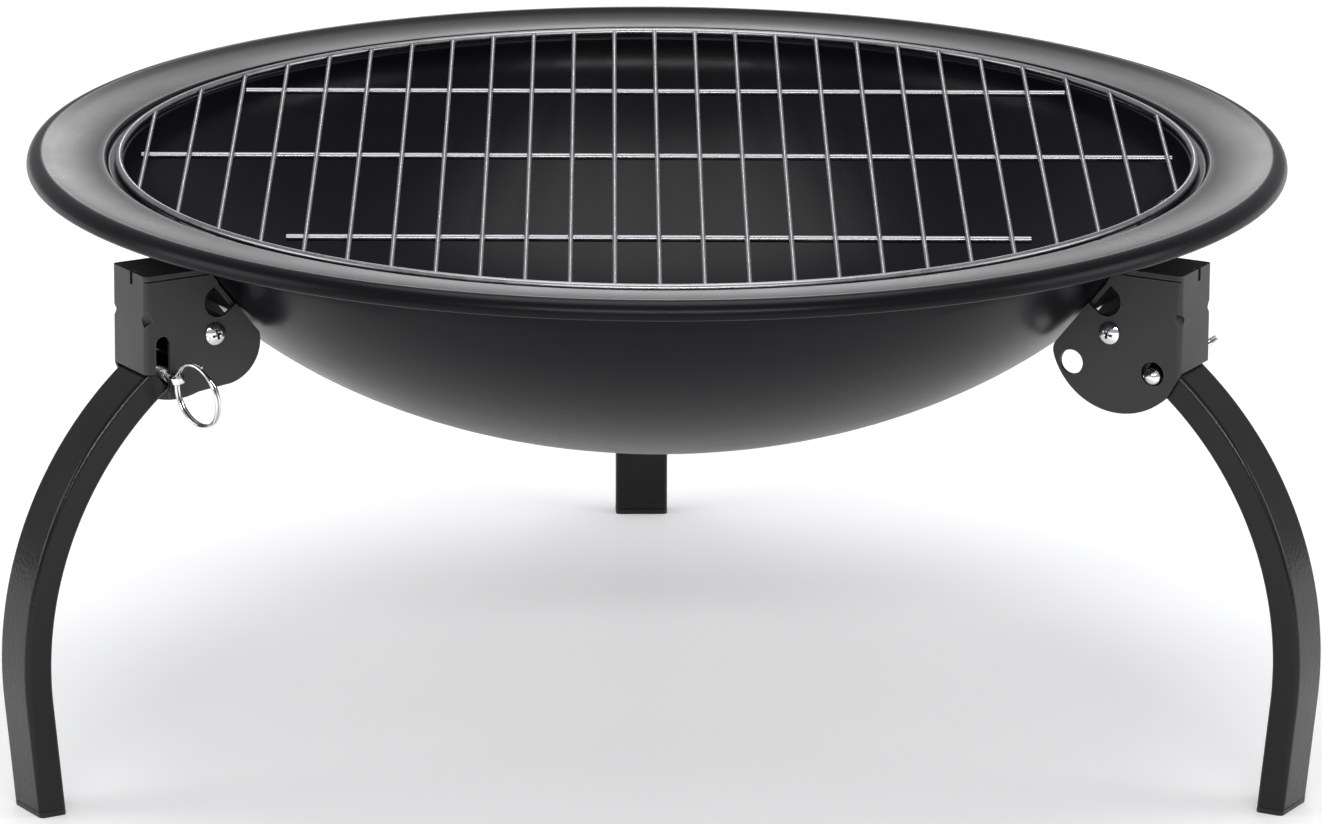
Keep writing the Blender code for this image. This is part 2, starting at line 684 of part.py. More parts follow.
def make_lock_pin(cutters):
    """Lock pin about its own axis: domed nose through the large ear, stem and eye past the small one."""
    nose = PIN_NOSE_DIAMETER / 2
    stem = PIN_STEM_DIAMETER / 2
    ear = BRACKET_WIDTH / 2
    crown = [(radius, -height) for radius, height in dome(nose, nose * 0.7, ear + PIN_TIP_PROUD)]
    eye_height = ear + PIN_EYE_STAND_OFF
    profile = [(0.0, eye_height), (stem, eye_height), (stem, PIN_NOSE_END), (nose, PIN_NOSE_END)]
    pin = turned("lock_pin", profile + list(reversed(crown)), cutters)
    pin_mesh = across(baked(pin), "lock_pin")
    pin = new_object("lock_pin_blank", pin_mesh, cutters)
    centre = Vector((0, eye_height, 0))
    thick = Vector((0, 0, PIN_EYE_THICKNESS / 2))
    eye = rod("lock_pin_eye", centre - thick, centre + thick, PIN_EYE_RADIUS, cutters)
    hole = rod("lock_pin_eye_hole", centre - thick * 3, centre + thick * 3, PIN_EYE_HOLE / 2, cutters)
    boolean(pin, as_cutter(eye), "UNION")
    cut(pin, hole)
    mesh = baked(pin)
    mesh.name = "lock_pin"
    return mesh


def make_spring(cutters):
    """Compression spring on the pin's stem, from the nose's shoulder to the small ear."""
    low = PIN_NOSE_END + GAP + SPRING_WIRE / 2
    high = BRACKET_WIDTH / 2 - BRACKET_SHEET - GAP - SPRING_WIRE / 2
    radius = PIN_STEM_DIAMETER / 2 + 2 * GAP + SPRING_WIRE / 2
    count = SPRING_TURNS * SPRING_POINTS_PER_TURN
    points = []
    for i in range(count + 1):
        angle = 2 * math.pi * i / SPRING_POINTS_PER_TURN
        points.append((radius * math.cos(angle), low + (high - low) * i / count, radius * math.sin(angle)))
    coil = poly_curve("lock_spring", points, cutters)
    coil.data.bevel_depth = SPRING_WIRE / 2
    coil.data.bevel_resolution = 0
    coil.data.use_fill_caps = True
    mesh = baked(coil)
    mesh.name = "lock_spring"
    return mesh


def make_pull_ring(cutters):
    """Split ring of two close turns, held out from the pin's eye, where its origin is."""
    half = RING_TURN_SPACING / 2
    wire = RING_WIRE / 2
    waist = math.asin(half / wire)
    upper = arc((RING_RADIUS, half), wire, math.pi + waist, -waist, 5)
    lower = arc((RING_RADIUS, -half), wire, waist, -math.pi - waist, 5)
    ring = baked(turned("pull_ring", upper + lower[1:], cutters, 24))
    ring.transform(Matrix.Rotation(math.pi / 2, 4, "Y"))
    away = Vector((0, math.cos(RING_DROOP), -math.sin(RING_DROOP)))
    ring.transform(Matrix.Translation(away * RING_RADIUS))
    ring.name = "pull_ring"
    return ring


def make_bolt(cutters):
    """Domed bolt about its own axis, z = 0 on the bowl's outer face, z pointing out of the bowl."""
    inside = BOWL_SHEET + BOLT_HEAD_OVER_CURVE
    end = GAP + BRACKET_SHEET + GAP + NUT_HEIGHT + BOLT_END_PROUD
    shank = BOLT_DIAMETER / 2
    crown = [
        (radius, -height)
        for radius, height in dome(BOLT_HEAD_RADIUS, BOLT_HEAD_HEIGHT * 0.8, inside + BOLT_HEAD_HEIGHT)
    ]
    profile = [(0.0, end), (shank, end), (shank, -inside), (BOLT_HEAD_RADIUS, -inside), *reversed(crown)]
    return baked(turned("bowl_bolt", profile, cutters, SMALL_STEPS))


def make_nut(cutters):
    """Hexagon nut on the same axis, seated on the bracket's flange."""
    low = GAP + BRACKET_SHEET + GAP
    radius = NUT_ACROSS_FLATS / math.sqrt(3)
    nut = rod("bowl_nut", (0, 0, low), (0, 0, low + NUT_HEIGHT), radius, cutters, 6)
    bore = BOLT_DIAMETER / 2 + GAP
    cut(nut, rod("nut_bore", (0, 0, low - 0.005), (0, 0, low + 0.01), bore, cutters, SMALL_STEPS))
    mesh = baked(nut)
    mesh.name = "bowl_nut"
    return mesh


def empty(name, group, parent, location=(0, 0, 0), turn=0.0):
    item = new_object(name, None, group)
    item.parent = parent
    item.location = location
    item.rotation_euler.z = turn
    item.empty_display_size = 0.02
    return item


def finish(item, spec, smooth=35):
    item.data.materials.clear()
    item.data.materials.append(material(spec))
    item.data.shade_smooth()
    item.data.set_sharp_from_angle(angle=math.radians(smooth))


def place(name, mesh, parent, group):
    item = new_object(name, mesh, group)
    item.parent = parent
    return item


def make_station_meshes(cutters):
    meshes = {
        "leg_bracket": (make_bracket(cutters), PAINT),
        "leg": (make_leg(cutters), PAINT),
        "leg_foot_plug": (make_plug(cutters), PLASTIC),
        "pivot_sleeve": (make_pivot_sleeve(cutters), CHROME),
        "pivot_screw": (make_pivot_screw(cutters), CHROME),
        "lock_pin": (make_lock_pin(cutters), CHROME),
        "lock_spring": (make_spring(cutters), ZINC),
        "pull_ring": (make_pull_ring(cutters), CHROME),
        "bowl_bolt": (make_bolt(cutters), ZINC),
        "bowl_nut": (make_nut(cutters), ZINC),
    }
    return meshes


def fill_station(number, station, meshes, parts):
    """Place one bracket with its leg, pivot, lock pin, spring, ring, bolts and nuts."""
    pin = lock_pin_axis()
    eye = BRACKET_WIDTH / 2 + PIN_EYE_STAND_OFF
    pivot = empty(f"pivot_{number}", parts, station, (PIVOT[0], 0, PIVOT[1]))
    slide = empty(f"pin_slide_{number}", parts, station, (pin.x, 0, pin.y))
    slide.rotation_euler.y = PIN_ROLLS[number - 1]
    swing = empty(f"ring_swing_{number}", parts, slide, (0, eye, 0), RING_TURNS[number - 1])
    homes = {
        "leg_bracket": station,
        "leg": pivot,
        "leg_foot_plug": pivot,
        "pivot_sleeve": pivot,
        "pivot_screw": pivot,
        "lock_pin": slide,
        "lock_spring": slide,
        "pull_ring": swing,
    }
    for name, home in homes.items():
        mesh, spec = meshes[name]
        finish(place(f"{name}_{number}", mesh, home, parts), spec)
    places, out = bolt_places()
    for side, spot in zip("ab", places):
        for name in ("bowl_bolt", "bowl_nut"):
            mesh, spec = meshes[name]
            item = place(f"{name}_{number}{side}", mesh, station, parts)
            item.location = spot
            item.rotation_mode = "QUATERNION"
            item.rotation_quaternion = out.to_track_quat("Z", "Y")
            finish(item, spec)


def main():
    clear_scene()
    parts = new_collection("fire_pit")
    cutters = new_collection("cutters")
    reach = leg_bend_centre().x + LEG_BEND_RADIUS + LEG_DEPTH / 2
    axis = empty("bowl_axis", parts, None, (0, (BRIM_RADIUS - reach) / 2, 0))
    stations = [
        empty(f"station_{number}", parts, axis, turn=angle)
        for number, angle in enumerate(STATION_ANGLES, 1)
    ]
    meshes = make_station_meshes(cutters)
    bowl = make_bowl(parts, cutters, stations)
    bowl.parent = axis
    grate = make_grate(parts, cutters)
    grate.parent = axis
    grate.rotation_euler.z = GRATE_TURN
    for rod_item in bpy.data.collections["grate_rods"].objects:
        rod_item.parent = grate
    finish(bowl, PAINT)
    finish(grate, CHROME)
    for number, station in enumerate(stations, 1):
        fill_station(number, station, meshes, parts)
    bpy.context.view_layer.update()


main()
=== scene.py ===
"""Looks of the portable fire pit: a black steel bowl on three folding legs, with a chrome wire grate.

Metres, +Z up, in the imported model's frame. A leg, its bracket and everything on it are modelled once
at a station lying along +X: x away from the bowl's axis, y along the brim, z up. Copies are then
turned round the bowl's axis to the three stations. A point given as a pair is (x, z) at the station.
"""

import math
from contextlib import contextmanager

import bmesh
import bpy
from mathutils import Matrix, Vector

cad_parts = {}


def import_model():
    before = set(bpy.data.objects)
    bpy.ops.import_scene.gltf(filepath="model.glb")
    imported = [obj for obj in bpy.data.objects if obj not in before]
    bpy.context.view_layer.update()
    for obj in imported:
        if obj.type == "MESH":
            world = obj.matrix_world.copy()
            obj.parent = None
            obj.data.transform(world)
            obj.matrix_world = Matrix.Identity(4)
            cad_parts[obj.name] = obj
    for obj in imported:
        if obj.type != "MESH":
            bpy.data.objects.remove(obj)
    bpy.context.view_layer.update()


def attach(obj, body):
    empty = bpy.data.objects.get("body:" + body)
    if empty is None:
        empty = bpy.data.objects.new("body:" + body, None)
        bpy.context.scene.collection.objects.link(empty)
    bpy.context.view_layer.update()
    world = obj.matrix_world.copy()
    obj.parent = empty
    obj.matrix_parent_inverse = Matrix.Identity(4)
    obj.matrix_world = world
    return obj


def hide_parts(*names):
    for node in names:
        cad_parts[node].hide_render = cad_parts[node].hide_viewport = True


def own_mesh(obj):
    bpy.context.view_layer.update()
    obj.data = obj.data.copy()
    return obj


AXIS_Y = -0.022288
STATIONS = {1: math.radians(90), 2: math.radians(210), 3: math.radians(330)}
GAP = 0.0003  # between pieces that fit together
PAST = 0.01  # how far a cutter reaches past what it cuts

# Bowl, by its upper face
BRIM_RADIUS = 0.280
BOWL_SHEET = 0.0012
BOWL_BOTTOM = 0.1312
BOWL_CURVE_RADIUS = 0.2558
BOWL_CURVE_HEIGHT = 0.1801
BOWL_CURVE_END = 0.226
BOWL_CURVE_STEPS = 26
BOWL_SIDES = 160
WALL_FILLET = 0.026
SEAT_INNER = 0.2368
SEAT_OUTER = 0.2440
SEAT_HEIGHT = 0.2536
SEAT_FILLET = 0.0012
LIP_RUN = 0.0010
LIP_HEIGHT = 0.2564
LIP_FILLET = 0.0016
BRIM_RISE = 0.0046
BRIM_DISH = 0.0010
BRIM_EDGE = 0.0060
CREST_KEPT = 0.0007  # the corner stands this much higher, as its rounding takes the crest away
HEM_HEIGHT = 0.2516
HEM_WIDTH = 0.0028
HEM_FILLET = 0.0020

# Cooking grate
RING_RADIUS = 0.2391
RING_WIRE = 0.0035
WIRE = 0.0020
WIRE_PITCH = 0.0189
WIRES_EACH_SIDE = 12
BAR_WIRE = 0.0030
BARS = ((-0.1470, 0.1600), (0.0, 0.2295), (0.1245, 0.1880))  # place and half length of each
WELD = 0.0004  # how far welded wires sink into each other
NUGGET_RADIUS = 0.0013
NUGGET_STRETCH = (1.15, 1.15, 0.6)
GRATE_TURN = math.radians(-0.9)
RING_CENTRE = SEAT_HEIGHT + GAP + RING_WIRE / 2

# Bracket
SHEET = 0.0020
WIDTH = 0.0300
REACH = 0.2660
TOP = 0.2360
WEB_BOTTOM = 0.1925
TOUCH_HEIGHT = 0.2220  # of the bowl's inner face, where the bracket touches the outer one
FOLD = 0.0022
FLANGE_DROP = 0.0080
LARGE_EAR = (0.2363, 0.2040)
LARGE_EAR_RADIUS = 0.0327
LARGE_EAR_HEEL = (0.2600, 0.1806)
LARGE_EAR_STOP = 0.16  # the round ends this angle before the toe
TOE_FILLET = 0.006
SMALL_EAR = (0.2279, 0.2014)
SMALL_EAR_RADIUS = 0.0182
SMALL_EAR_HEEL = (0.2535, 0.1805)
SMALL_EAR_ARC = (-math.pi / 2 - 0.15, -math.pi - 0.55)
EAR_FIELD = (0.19, 0.16)  # a point inwards of both ears and below them
EAR_SLOT = 0.2574  # x of its middle
EAR_SLOT_WIDTH = 0.0068
EAR_SLOT_TOP = 0.2088
DENT_HEIGHT = 0.2165
DENT_SIZE = 0.0048
DENT_TURN = (35, 20, 45)  # degrees about x, y and z
RELIEF_SIDE = 0.0026
RELIEF_WIDTH = 0.0026
RELIEF_DEPTH = 0.0056
TOP_SEAM = (0.2332, 0.2340)  # its lower and upper edge
SEAM_DEPTH = 0.0012

# Pivot and lock
PIVOT = (0.2320, 0.2068)
LOCK_HOLE = (0.2527, 0.1910)
SECOND_HOLE = (0.2138, 0.1914)
LOCK_HOLE_DIAMETER = 0.0110
PIN = (0.2527, 0.1899)
SLEEVE_DIAMETER = 0.0064
HEAD_DIAMETER = 0.0098
HEAD_HEIGHT = 0.0024
HEAD_CROWN = 0.7  # the share of a head's height that is domed
RECESS = ((-0.0034, -0.00065, -0.0019), (0.0034, 0.00065, 0.0010))
RECESS_TAPER = (0.35, 0.8, 1)
RECESS_TURN = 0.35
SCREW_DIAMETER = 0.0040
SCREW_LENGTH = 0.0200
NOSE_DIAMETER = 0.0082
NOSE_END = 0.0030
NOSE_CROWN = 0.7  # the crown's height as a share of the nose's radius
TIP_PROUD = 0.0024
STEM_DIAMETER = 0.0036
EYE_RADIUS = 0.0033
EYE_THICKNESS = 0.0028
EYE_HOLE = 0.0044
EYE_OUT = 0.0037
PIN_ROLLS = {1: math.radians(8), 2: math.radians(8), 3: math.radians(50)}
SPRING_WIRE = 0.0006
SPRING_TURNS = 6
SPRING_STEPS = 20  # in each turn
PULL_RADIUS = 0.0140
PULL_WIRE = 0.0015
PULL_PITCH = 0.0014
PULL_STEPS = 96  # in each turn
PULL_START = math.radians(70)
PULL_CROSSING = (0.86, 0.12)  # where in a turn the wire steps over to the next, and for how long
PULL_DROOP = math.radians(20)
PULL_TURNS = {1: math.radians(10), 2: math.radians(10), 3: math.radians(3)}

# Leg and plug
LEG_WIDTH = 0.0250
LEG_DEPTH = 0.0130
LEG_WALL = 0.0012
LEG_CORNER = 0.0022
LEG_BEND_STEPS = 44
BEND_RADIUS = 0.1550
PAST_PIVOT = 0.0070
FOOT = 0.3117  # where the leg's middle line meets the floor
LEAN = math.radians(6)
STRAIGHT = 0.0500
LOCK_SLOT_PLAY = 0.0004
FLANGE = 0.0025
PLUG_DEPTH = 0.0120
PLUG_FIT = 0.0004
PLUG_CORNER = 0.001
PLUG_BLANK = 0.024  # the length that the flange and the stub are cut from
FOOT_FIELD = (0.25, 0.38)  # from well inwards of a foot to well outwards

# Bolts
BOLT = 0.0050
BOLT_SPACING = 0.0140
BOLT_UP = 0.0070  # along the wall, from where the bracket touches it
BOLT_HEAD_RADIUS = 0.0060
BOLT_HEAD_HEIGHT = 0.0026
BOLT_CROWN = 0.8  # the share of the head's height that is domed
BOLT_UNDER_HEAD = 0.0010
BOLT_PROUD = 0.0012
BOLT_CHAMFER = 0.0005
NUT = 0.0080
NUT_HEIGHT = 0.0040
NUT_CHAMFER = 0.0009
NUT_FACE = 0.96  # the round face as a share of the width across the flats
NUT_CLEAR = 0.0005
NUT_STEP = 0.0002
NUT_NOTCH = (0.2300, 0.2208)
NUT_NOTCH_RADIUS = 0.0070

# How far edges are rounded
SHEET_EDGE = 0.00028
BAR_EDGE = 0.0005
PLUG_EDGE = 0.0003
HEAD_EDGE = 0.00018
PIN_EDGE = 0.00025
BOLT_EDGE = 0.0002
NUT_EDGE = 0.00015

# Painted shade with some grime, laid in the hollows of plated metal where shade falls
SHADE_AND_GRIME = (0.012, 0.011, 0.010)

# Studio
WORLD_COLOUR = (0.96, 0.97, 1.0, 1)
WORLD_STRENGTH = 0.42
FLOOR_SIZE = 12
FLOOR_TONES = ((0.93, 0.93, 0.93), (0.95, 0.95, 0.95))
FLOOR_LIFT = 0.20
FLOOR_LIFT_FAR = 0.62
FLOOR_FADE = (0.9, 3.2)
SOFTBOXES = (  # name, size, place, aim, watts
    ("overhead", (1.6, 1.6), (0.0, 0.3, 2.4), (0, 0, 0.2), 26),
    ("front_strip", (2.6, 0.3), (0.0, -2.8, 1.6), (0, 0, 0.2), 44),
    ("back_centre", (0.8, 0.8), (0.17, 8.0, 2.25), (0, 0, 0.25), 19),
    ("left_side", (1.6, 1.2), (-2.6, -0.4, 0.9), (0, 0, 0.15), 18),
    ("right_side", (1.6, 1.2), (2.6, -0.4, 0.9), (0, 0, 0.15), 18),
)

# Camera, fitted to the photograph's viewing angle
CAMERA_PLACE = (-0.0839, -3.8000 + AXIS_Y, 1.1855)
CAMERA_FORWARD = (0.0219, 0.9637, -0.2662)
CAMERA_RIGHT = (0.9998, -0.0213, 0.0049)
CAMERA_LENS = 239.39


# Working by hand


def deselect_all():
    if bpy.context.object and bpy.context.object.mode != "OBJECT":
        bpy.ops.object.mode_set(mode="OBJECT")
    bpy.ops.object.select_all(action="DESELECT")


def work_on(piece):
    deselect_all()
    piece.select_set(True)
    bpy.context.view_layer.objects.active = piece


@contextmanager
def editing(piece, mode="VERT"):
    """Edit mode on one piece, with everything selected."""
    work_on(piece)
    bpy.ops.object.mode_set(mode="EDIT")
    bpy.ops.mesh.select_mode(type=mode)
    bpy.ops.mesh.select_all(action="SELECT")
    yield
    bpy.ops.object.mode_set(mode="OBJECT")


def pick(piece, kind, wanted):
    """Select only the edges or faces whose middle passes a test."""
    bpy.ops.mesh.select_mode(type=kind)
    bpy.ops.mesh.select_all(action="DESELECT")
    shape = bmesh.from_edit_mesh(piece.data)
    parts = shape.edges if kind == "EDGE" else shape.faces
    for part in parts:
        corners = [vertex.co for vertex in part.verts]
        if wanted(sum(corners, Vector()) / len(corners)):
            part.select_set(True)
    bmesh.update_edit_mesh(piece.data)


def named(name):
    """Name the piece in hand."""
    piece = bpy.context.object
    piece.name = piece.data.name = name
    return piece


def settle(piece):
    """Put a piece's place, turn and size into its mesh."""
    work_on(piece)
    bpy.ops.object.transform_apply(location=True, rotation=True, scale=True)
    return piece


def throw_away(piece):
    bpy.data.objects.remove(piece, do_unlink=True)


def tidy_normals(piece):
    with editing(piece):
        bpy.ops.mesh.remove_doubles(threshold=0.00001)
        bpy.ops.mesh.normals_make_consistent(inside=False)
    return piece


def extrude(move):
    bpy.ops.mesh.extrude_region_move(TRANSFORM_OT_translate={"value": move})


def modifier(piece, kind, **values):
    """Add a modifier and apply it."""
    work_on(piece)
    step = piece.modifiers.new(kind.lower(), kind)
    for name, value in values.items():
        setattr(step, name, value)
    bpy.ops.object.modifier_apply(modifier=step.name)
    return piece


def cut(piece, *tools, operation="DIFFERENCE"):
    """Cut tools out of a piece, or join them to it, and throw the tools away."""
    for tool in tools:
        modifier(piece, "BOOLEAN", object=tool, operation=operation, solver="EXACT")
        throw_away(tool)
    return piece


def smooth(piece, angle=40):
    """Shade smooth, apart from edges that are sharper than an angle in degrees."""
    work_on(piece)
    bpy.ops.object.shade_smooth_by_angle(angle=math.radians(angle))
    return piece


def flat_faces_flat(piece):
    """Let the large faces decide the normals, so that the rounding stays on the edges."""
    return modifier(piece, "WEIGHTED_NORMAL", weight=100, keep_sharp=True)


def round_edges(piece, width, angle=40, flat=True):
    """Soften every edge sharper than an angle in degrees, and shade the piece smooth."""
    modifier(
        piece,
        "BEVEL",
        width=width,
        segments=2,
        limit_method="ANGLE",
        angle_limit=math.radians(angle),
        miter_outer="MITER_ARC",
        harden_normals=False,
    )
    return flat_faces_flat(smooth(piece)) if flat else smooth(piece)


def join(name, pieces):
    work_on(pieces[0])
    for piece in pieces[1:]:
        piece.select_set(True)
    bpy.ops.object.join()
    return named(name)


def copy_of(piece, name):
    """A copy with its own mesh."""
    work_on(piece)
    bpy.ops.object.duplicate()
    return named(name)


def drawn(name, points):
    """A line drawn through points, one extruded vertex after another."""
    deselect_all()
    bpy.ops.mesh.primitive_plane_add(size=0.01, location=(0, 0, 0))
    piece = named(name)
    with editing(piece):
        bpy.ops.mesh.merge(type="CENTER")
        bpy.ops.transform.translate(value=points[0])
        for before, after in zip(points, points[1:]):
            move = Vector(after) - Vector(before)
            bpy.ops.mesh.extrude_vertices_move(TRANSFORM_OT_translate={"value": move})
    return piece


def plate(name, outline, low, high):
    """A flat outline in the x-z plane, filled and extruded from y = low to y = high."""
    piece = drawn(name, [(x, low, z) for x, z in outline])
    with editing(piece):
        bpy.ops.mesh.edge_face_add()
        extrude((0, high - low, 0))
        bpy.ops.mesh.select_all(action="SELECT")
        bpy.ops.mesh.normals_make_consistent(inside=False)
    return piece


def turned(name, profile, steps=64):
    """A profile of (radius, height) pairs spun about its own z, closed where it meets the axis."""
    piece = drawn(name, [(radius, 0, height) for radius, height in profile])
    with editing(piece):
        bpy.ops.mesh.spin(steps=steps, angle=2 * math.pi, center=(0, 0, 0), axis=(0, 0, 1))
    return tidy_normals(piece)


def block(name, low, high):
    middle = [(a + b) / 2 for a, b in zip(low, high)]
    deselect_all()
    bpy.ops.mesh.primitive_cube_add(size=1, location=middle)
    piece = named(name)
    piece.scale = [b - a for a, b in zip(low, high)]
    return settle(piece)


def rod(name, start, end, radius, sides=32):
    """A round bar between two points."""
    start, end = Vector(start), Vector(end)
    deselect_all()
    bpy.ops.mesh.primitive_cylinder_add(
        vertices=sides, radius=radius, depth=(end - start).length, location=(start + end) / 2
    )
    piece = named(name)
    piece.rotation_mode = "QUATERNION"
    piece.rotation_quaternion = (end - start).to_track_quat("Z", "Y")
    return settle(piece)


def wire_along(name, points, radius, detail):
    """A wire along points, made as a bevelled curve."""
    data = bpy.data.curves.new(name, "CURVE")
    data.dimensions = "3D"
    line = data.splines.new("POLY")
    line.points.add(len(points) - 1)
    for spot, point in zip(line.points, points):
        spot.co = (*point, 1)
    data.bevel_depth = radius
    data.bevel_resolution = detail
    data.use_fill_caps = True
    wire = bpy.data.objects.new(name, data)
    bpy.context.scene.collection.objects.link(wire)
    work_on(wire)
    bpy.ops.object.convert(target="MESH")
    return tidy_normals(named(name))


# Curves and outlines


def at(point, y=0.0):
    """A point of the station in space."""
    return Vector((point[0], y, point[1]))


def arc(centre, radius, start, end, facet=math.radians(8)):
    """Points on a circle from one angle to another."""
    count = max(1, math.ceil(abs(end - start) / facet))
    angles = [start + (end - start) * i / count for i in range(count + 1)]
    return [(centre[0] + radius * math.cos(a), centre[1] + radius * math.sin(a)) for a in angles]


def filleted(corners):
    """An open path through corners given as (x, y, fillet radius)."""
    facet = math.radians(10)
    path = [corners[0][:2]]
    for before, corner, after in zip(corners, corners[1:], corners[2:]):
        here = Vector(corner[:2])
        if corner[2] <= 0:
            path.append(tuple(here))
            continue
        back = (Vector(before[:2]) - here).normalized()
        on = (Vector(after[:2]) - here).normalized()
        half = back.angle(on) / 2
        centre = here + (back + on).normalized() * corner[2] / math.sin(half)
        first = here + back * corner[2] / math.tan(half) - centre
        last = here + on * corner[2] / math.tan(half) - centre
        turn = first.angle_signed(last)
        count = max(1, math.ceil(abs(turn) / facet))
        for i in range(count + 1):
            path.append(tuple(centre + Matrix.Rotation(-turn * i / count, 2) @ first))
    path.append(corners[-1][:2])
    return path


def dome(radius, height, top):
    """A low crown, from the axis down to its edge."""
    steps = 12
    bulge = (radius**2 + height**2) / (2 * height)
    angles = [math.asin(radius / bulge) * i / steps for i in range(steps + 1)]
    return [(bulge * math.sin(a), top - bulge + bulge * math.cos(a)) for a in angles]


def dome_below(radius, height, bottom):
    """A crown that hangs down, from its edge to the axis."""
    return [(r, -z) for r, z in reversed(dome(radius, height, -bottom))]


def bowl_curve(angle):
    """A point of the bowl's upper face and the direction up along it."""
    point = (
        BOWL_CURVE_RADIUS * math.sin(angle),
        BOWL_BOTTOM + BOWL_CURVE_HEIGHT * (1 - math.cos(angle)),
    )
    along = Vector((BOWL_CURVE_RADIUS * math.cos(angle), BOWL_CURVE_HEIGHT * math.sin(angle)))
    return point, along.normalized()


def wall_line():
    """Where a bracket touches the bowl, the direction up the wall and the one out of it."""
    angle = math.acos(1 - (TOUCH_HEIGHT - BOWL_BOTTOM) / BOWL_CURVE_HEIGHT)
    inside, up = bowl_curve(angle)
    out = Vector((up.y, -up.x))
    return Vector(inside) + out * BOWL_SHEET, up, out


# The bowl


def make_bowl():
    end = math.asin(BOWL_CURVE_END / BOWL_CURVE_RADIUS)
    curve = [bowl_curve(end * i / BOWL_CURVE_STEPS)[0] for i in range(BOWL_CURVE_STEPS)]
    last, along = bowl_curve(end)
    wall_turn = last[1] + (SEAT_INNER - last[0]) * along.y / along.x
    corners = (
        (*last, 0),
        (SEAT_INNER, wall_turn, WALL_FILLET),
        (SEAT_INNER, SEAT_HEIGHT, SEAT_FILLET),
        (SEAT_OUTER, SEAT_HEIGHT, SEAT_FILLET),
        (SEAT_OUTER + LIP_RUN, LIP_HEIGHT, LIP_FILLET),
        *brim_dish(),
        (BRIM_RADIUS, LIP_HEIGHT + BRIM_RISE + CREST_KEPT, BRIM_EDGE),
        (BRIM_RADIUS, HEM_HEIGHT, HEM_FILLET),
        (BRIM_RADIUS - HEM_WIDTH, HEM_HEIGHT, 0),
    )
    bowl = turned("fire_bowl_shell", curve + filleted(corners), steps=BOWL_SIDES)
    modifier(bowl, "SOLIDIFY", thickness=BOWL_SHEET, offset=-1, use_even_offset=True)
    return smooth(bowl, angle=50)


def brim_dish():
    """The brim sinks a little between its lip and its rolled edge."""
    inner = SEAT_OUTER + LIP_RUN
    shares = [i / 10 for i in range(1, 8)]
    return [
        (
            inner + (BRIM_RADIUS - inner) * share,
            LIP_HEIGHT + BRIM_RISE * share - 4 * BRIM_DISH * share * (1 - share),
            0,
        )
        for share in shares
    ]


# The cooking grate


def make_grate():
    deselect_all()
    bpy.ops.mesh.primitive_torus_add(
        major_radius=RING_RADIUS,
        minor_radius=RING_WIRE / 2,
        major_segments=192,
        minor_segments=14,
        location=(0, 0, RING_CENTRE),
    )
    parts = [settle(named("grate_ring"))]
    bar_height = RING_CENTRE - (WIRE + BAR_WIRE) / 2 + WELD
    xs = [i * WIRE_PITCH for i in range(-WIRES_EACH_SIDE, WIRES_EACH_SIDE + 1)]
    nugget = make_nugget()
    for x in xs:
        half = math.sqrt(RING_RADIUS**2 - x**2)
        ends = (x, -half, RING_CENTRE), (x, half, RING_CENTRE)
        parts.append(rod("grate_wire", *ends, WIRE / 2, sides=12))
        for y in (-half + RING_WIRE / 2, half - RING_WIRE / 2):
            parts.append(placed_nugget(nugget, (x, y, RING_CENTRE - WIRE / 4)))
    for y, half in BARS:
        ends = (-half, y, bar_height), (half, y, bar_height)
        bar = rod("grate_bar", *ends, BAR_WIRE / 2, sides=14)
        parts.append(round_edges(bar, BAR_EDGE, angle=35))
        for x in xs:
            if abs(x) < half:
                parts.append(placed_nugget(nugget, (x, y, bar_height + BAR_WIRE / 2 - WELD)))
    throw_away(nugget)
    grate = join("cooking_grate_wires", parts)
    grate.rotation_euler.z = GRATE_TURN
    return smooth(settle(grate), angle=50)


def make_nugget():
    """The bead that spot welding squeezes out between two wires."""
    deselect_all()
    bpy.ops.mesh.primitive_uv_sphere_add(segments=8, ring_count=5, radius=NUGGET_RADIUS)
    nugget = named("weld_nugget")
    with editing(nugget):
        bpy.ops.transform.resize(value=NUGGET_STRETCH)
    return nugget


def placed_nugget(nugget, spot):
    piece = copy_of(nugget, "weld_nugget_copy")
    piece.location = spot
    return settle(piece)


# The bracket


def large_ear_outline():
    """The ear on the nose's side, down to its toe at the bowl's wall."""
    touch, up, out = wall_line()
    edge = touch + out * GAP
    top = edge + up * (TOP - edge.y) / up.y
    centre = Vector(LARGE_EAR)
    offset = edge - centre
    reach = math.sqrt(LARGE_EAR_RADIUS**2 - offset.dot(out) ** 2)
    toe = edge + up * (-offset.dot(up) - reach)
    start = math.atan2(LARGE_EAR_HEEL[1] - centre.y, LARGE_EAR_HEEL[0] - centre.x)
    end = -(math.atan2(centre.y - toe.y, toe.x - centre.x) % (2 * math.pi))
    lobe = arc(centre, LARGE_EAR_RADIUS, start, end + LARGE_EAR_STOP, facet=math.radians(5))
    rounded = filleted((lobe[-1], (*toe, TOE_FILLET), tuple(top)))[1:-1]
    return [(REACH, TOP), (REACH, WEB_BOTTOM), *lobe, *rounded, tuple(top)]


def small_ear_outline():
    """The ear on the pull ring's side, with its slot beside the web."""
    touch, up, out = wall_line()
    edge = touch - out * SHEET
    outer = REACH + SHEET
    top = edge + up * (TOP + SHEET - edge.y) / up.y
    half = EAR_SLOT_WIDTH / 2
    slot = arc((EAR_SLOT, EAR_SLOT_TOP - half), half, 0, math.pi, facet=math.radians(12))
    low = (SMALL_EAR[0], SMALL_EAR[1] - SMALL_EAR_RADIUS)
    lobe = arc(SMALL_EAR, SMALL_EAR_RADIUS, *SMALL_EAR_ARC, facet=math.radians(6))
    foot = [(EAR_SLOT + half, WEB_BOTTOM), *slot, (EAR_SLOT - half, SMALL_EAR_HEEL[1]), low]
    return [(outer, top.y), (outer, WEB_BOTTOM), *foot, *lobe, tuple(top)]


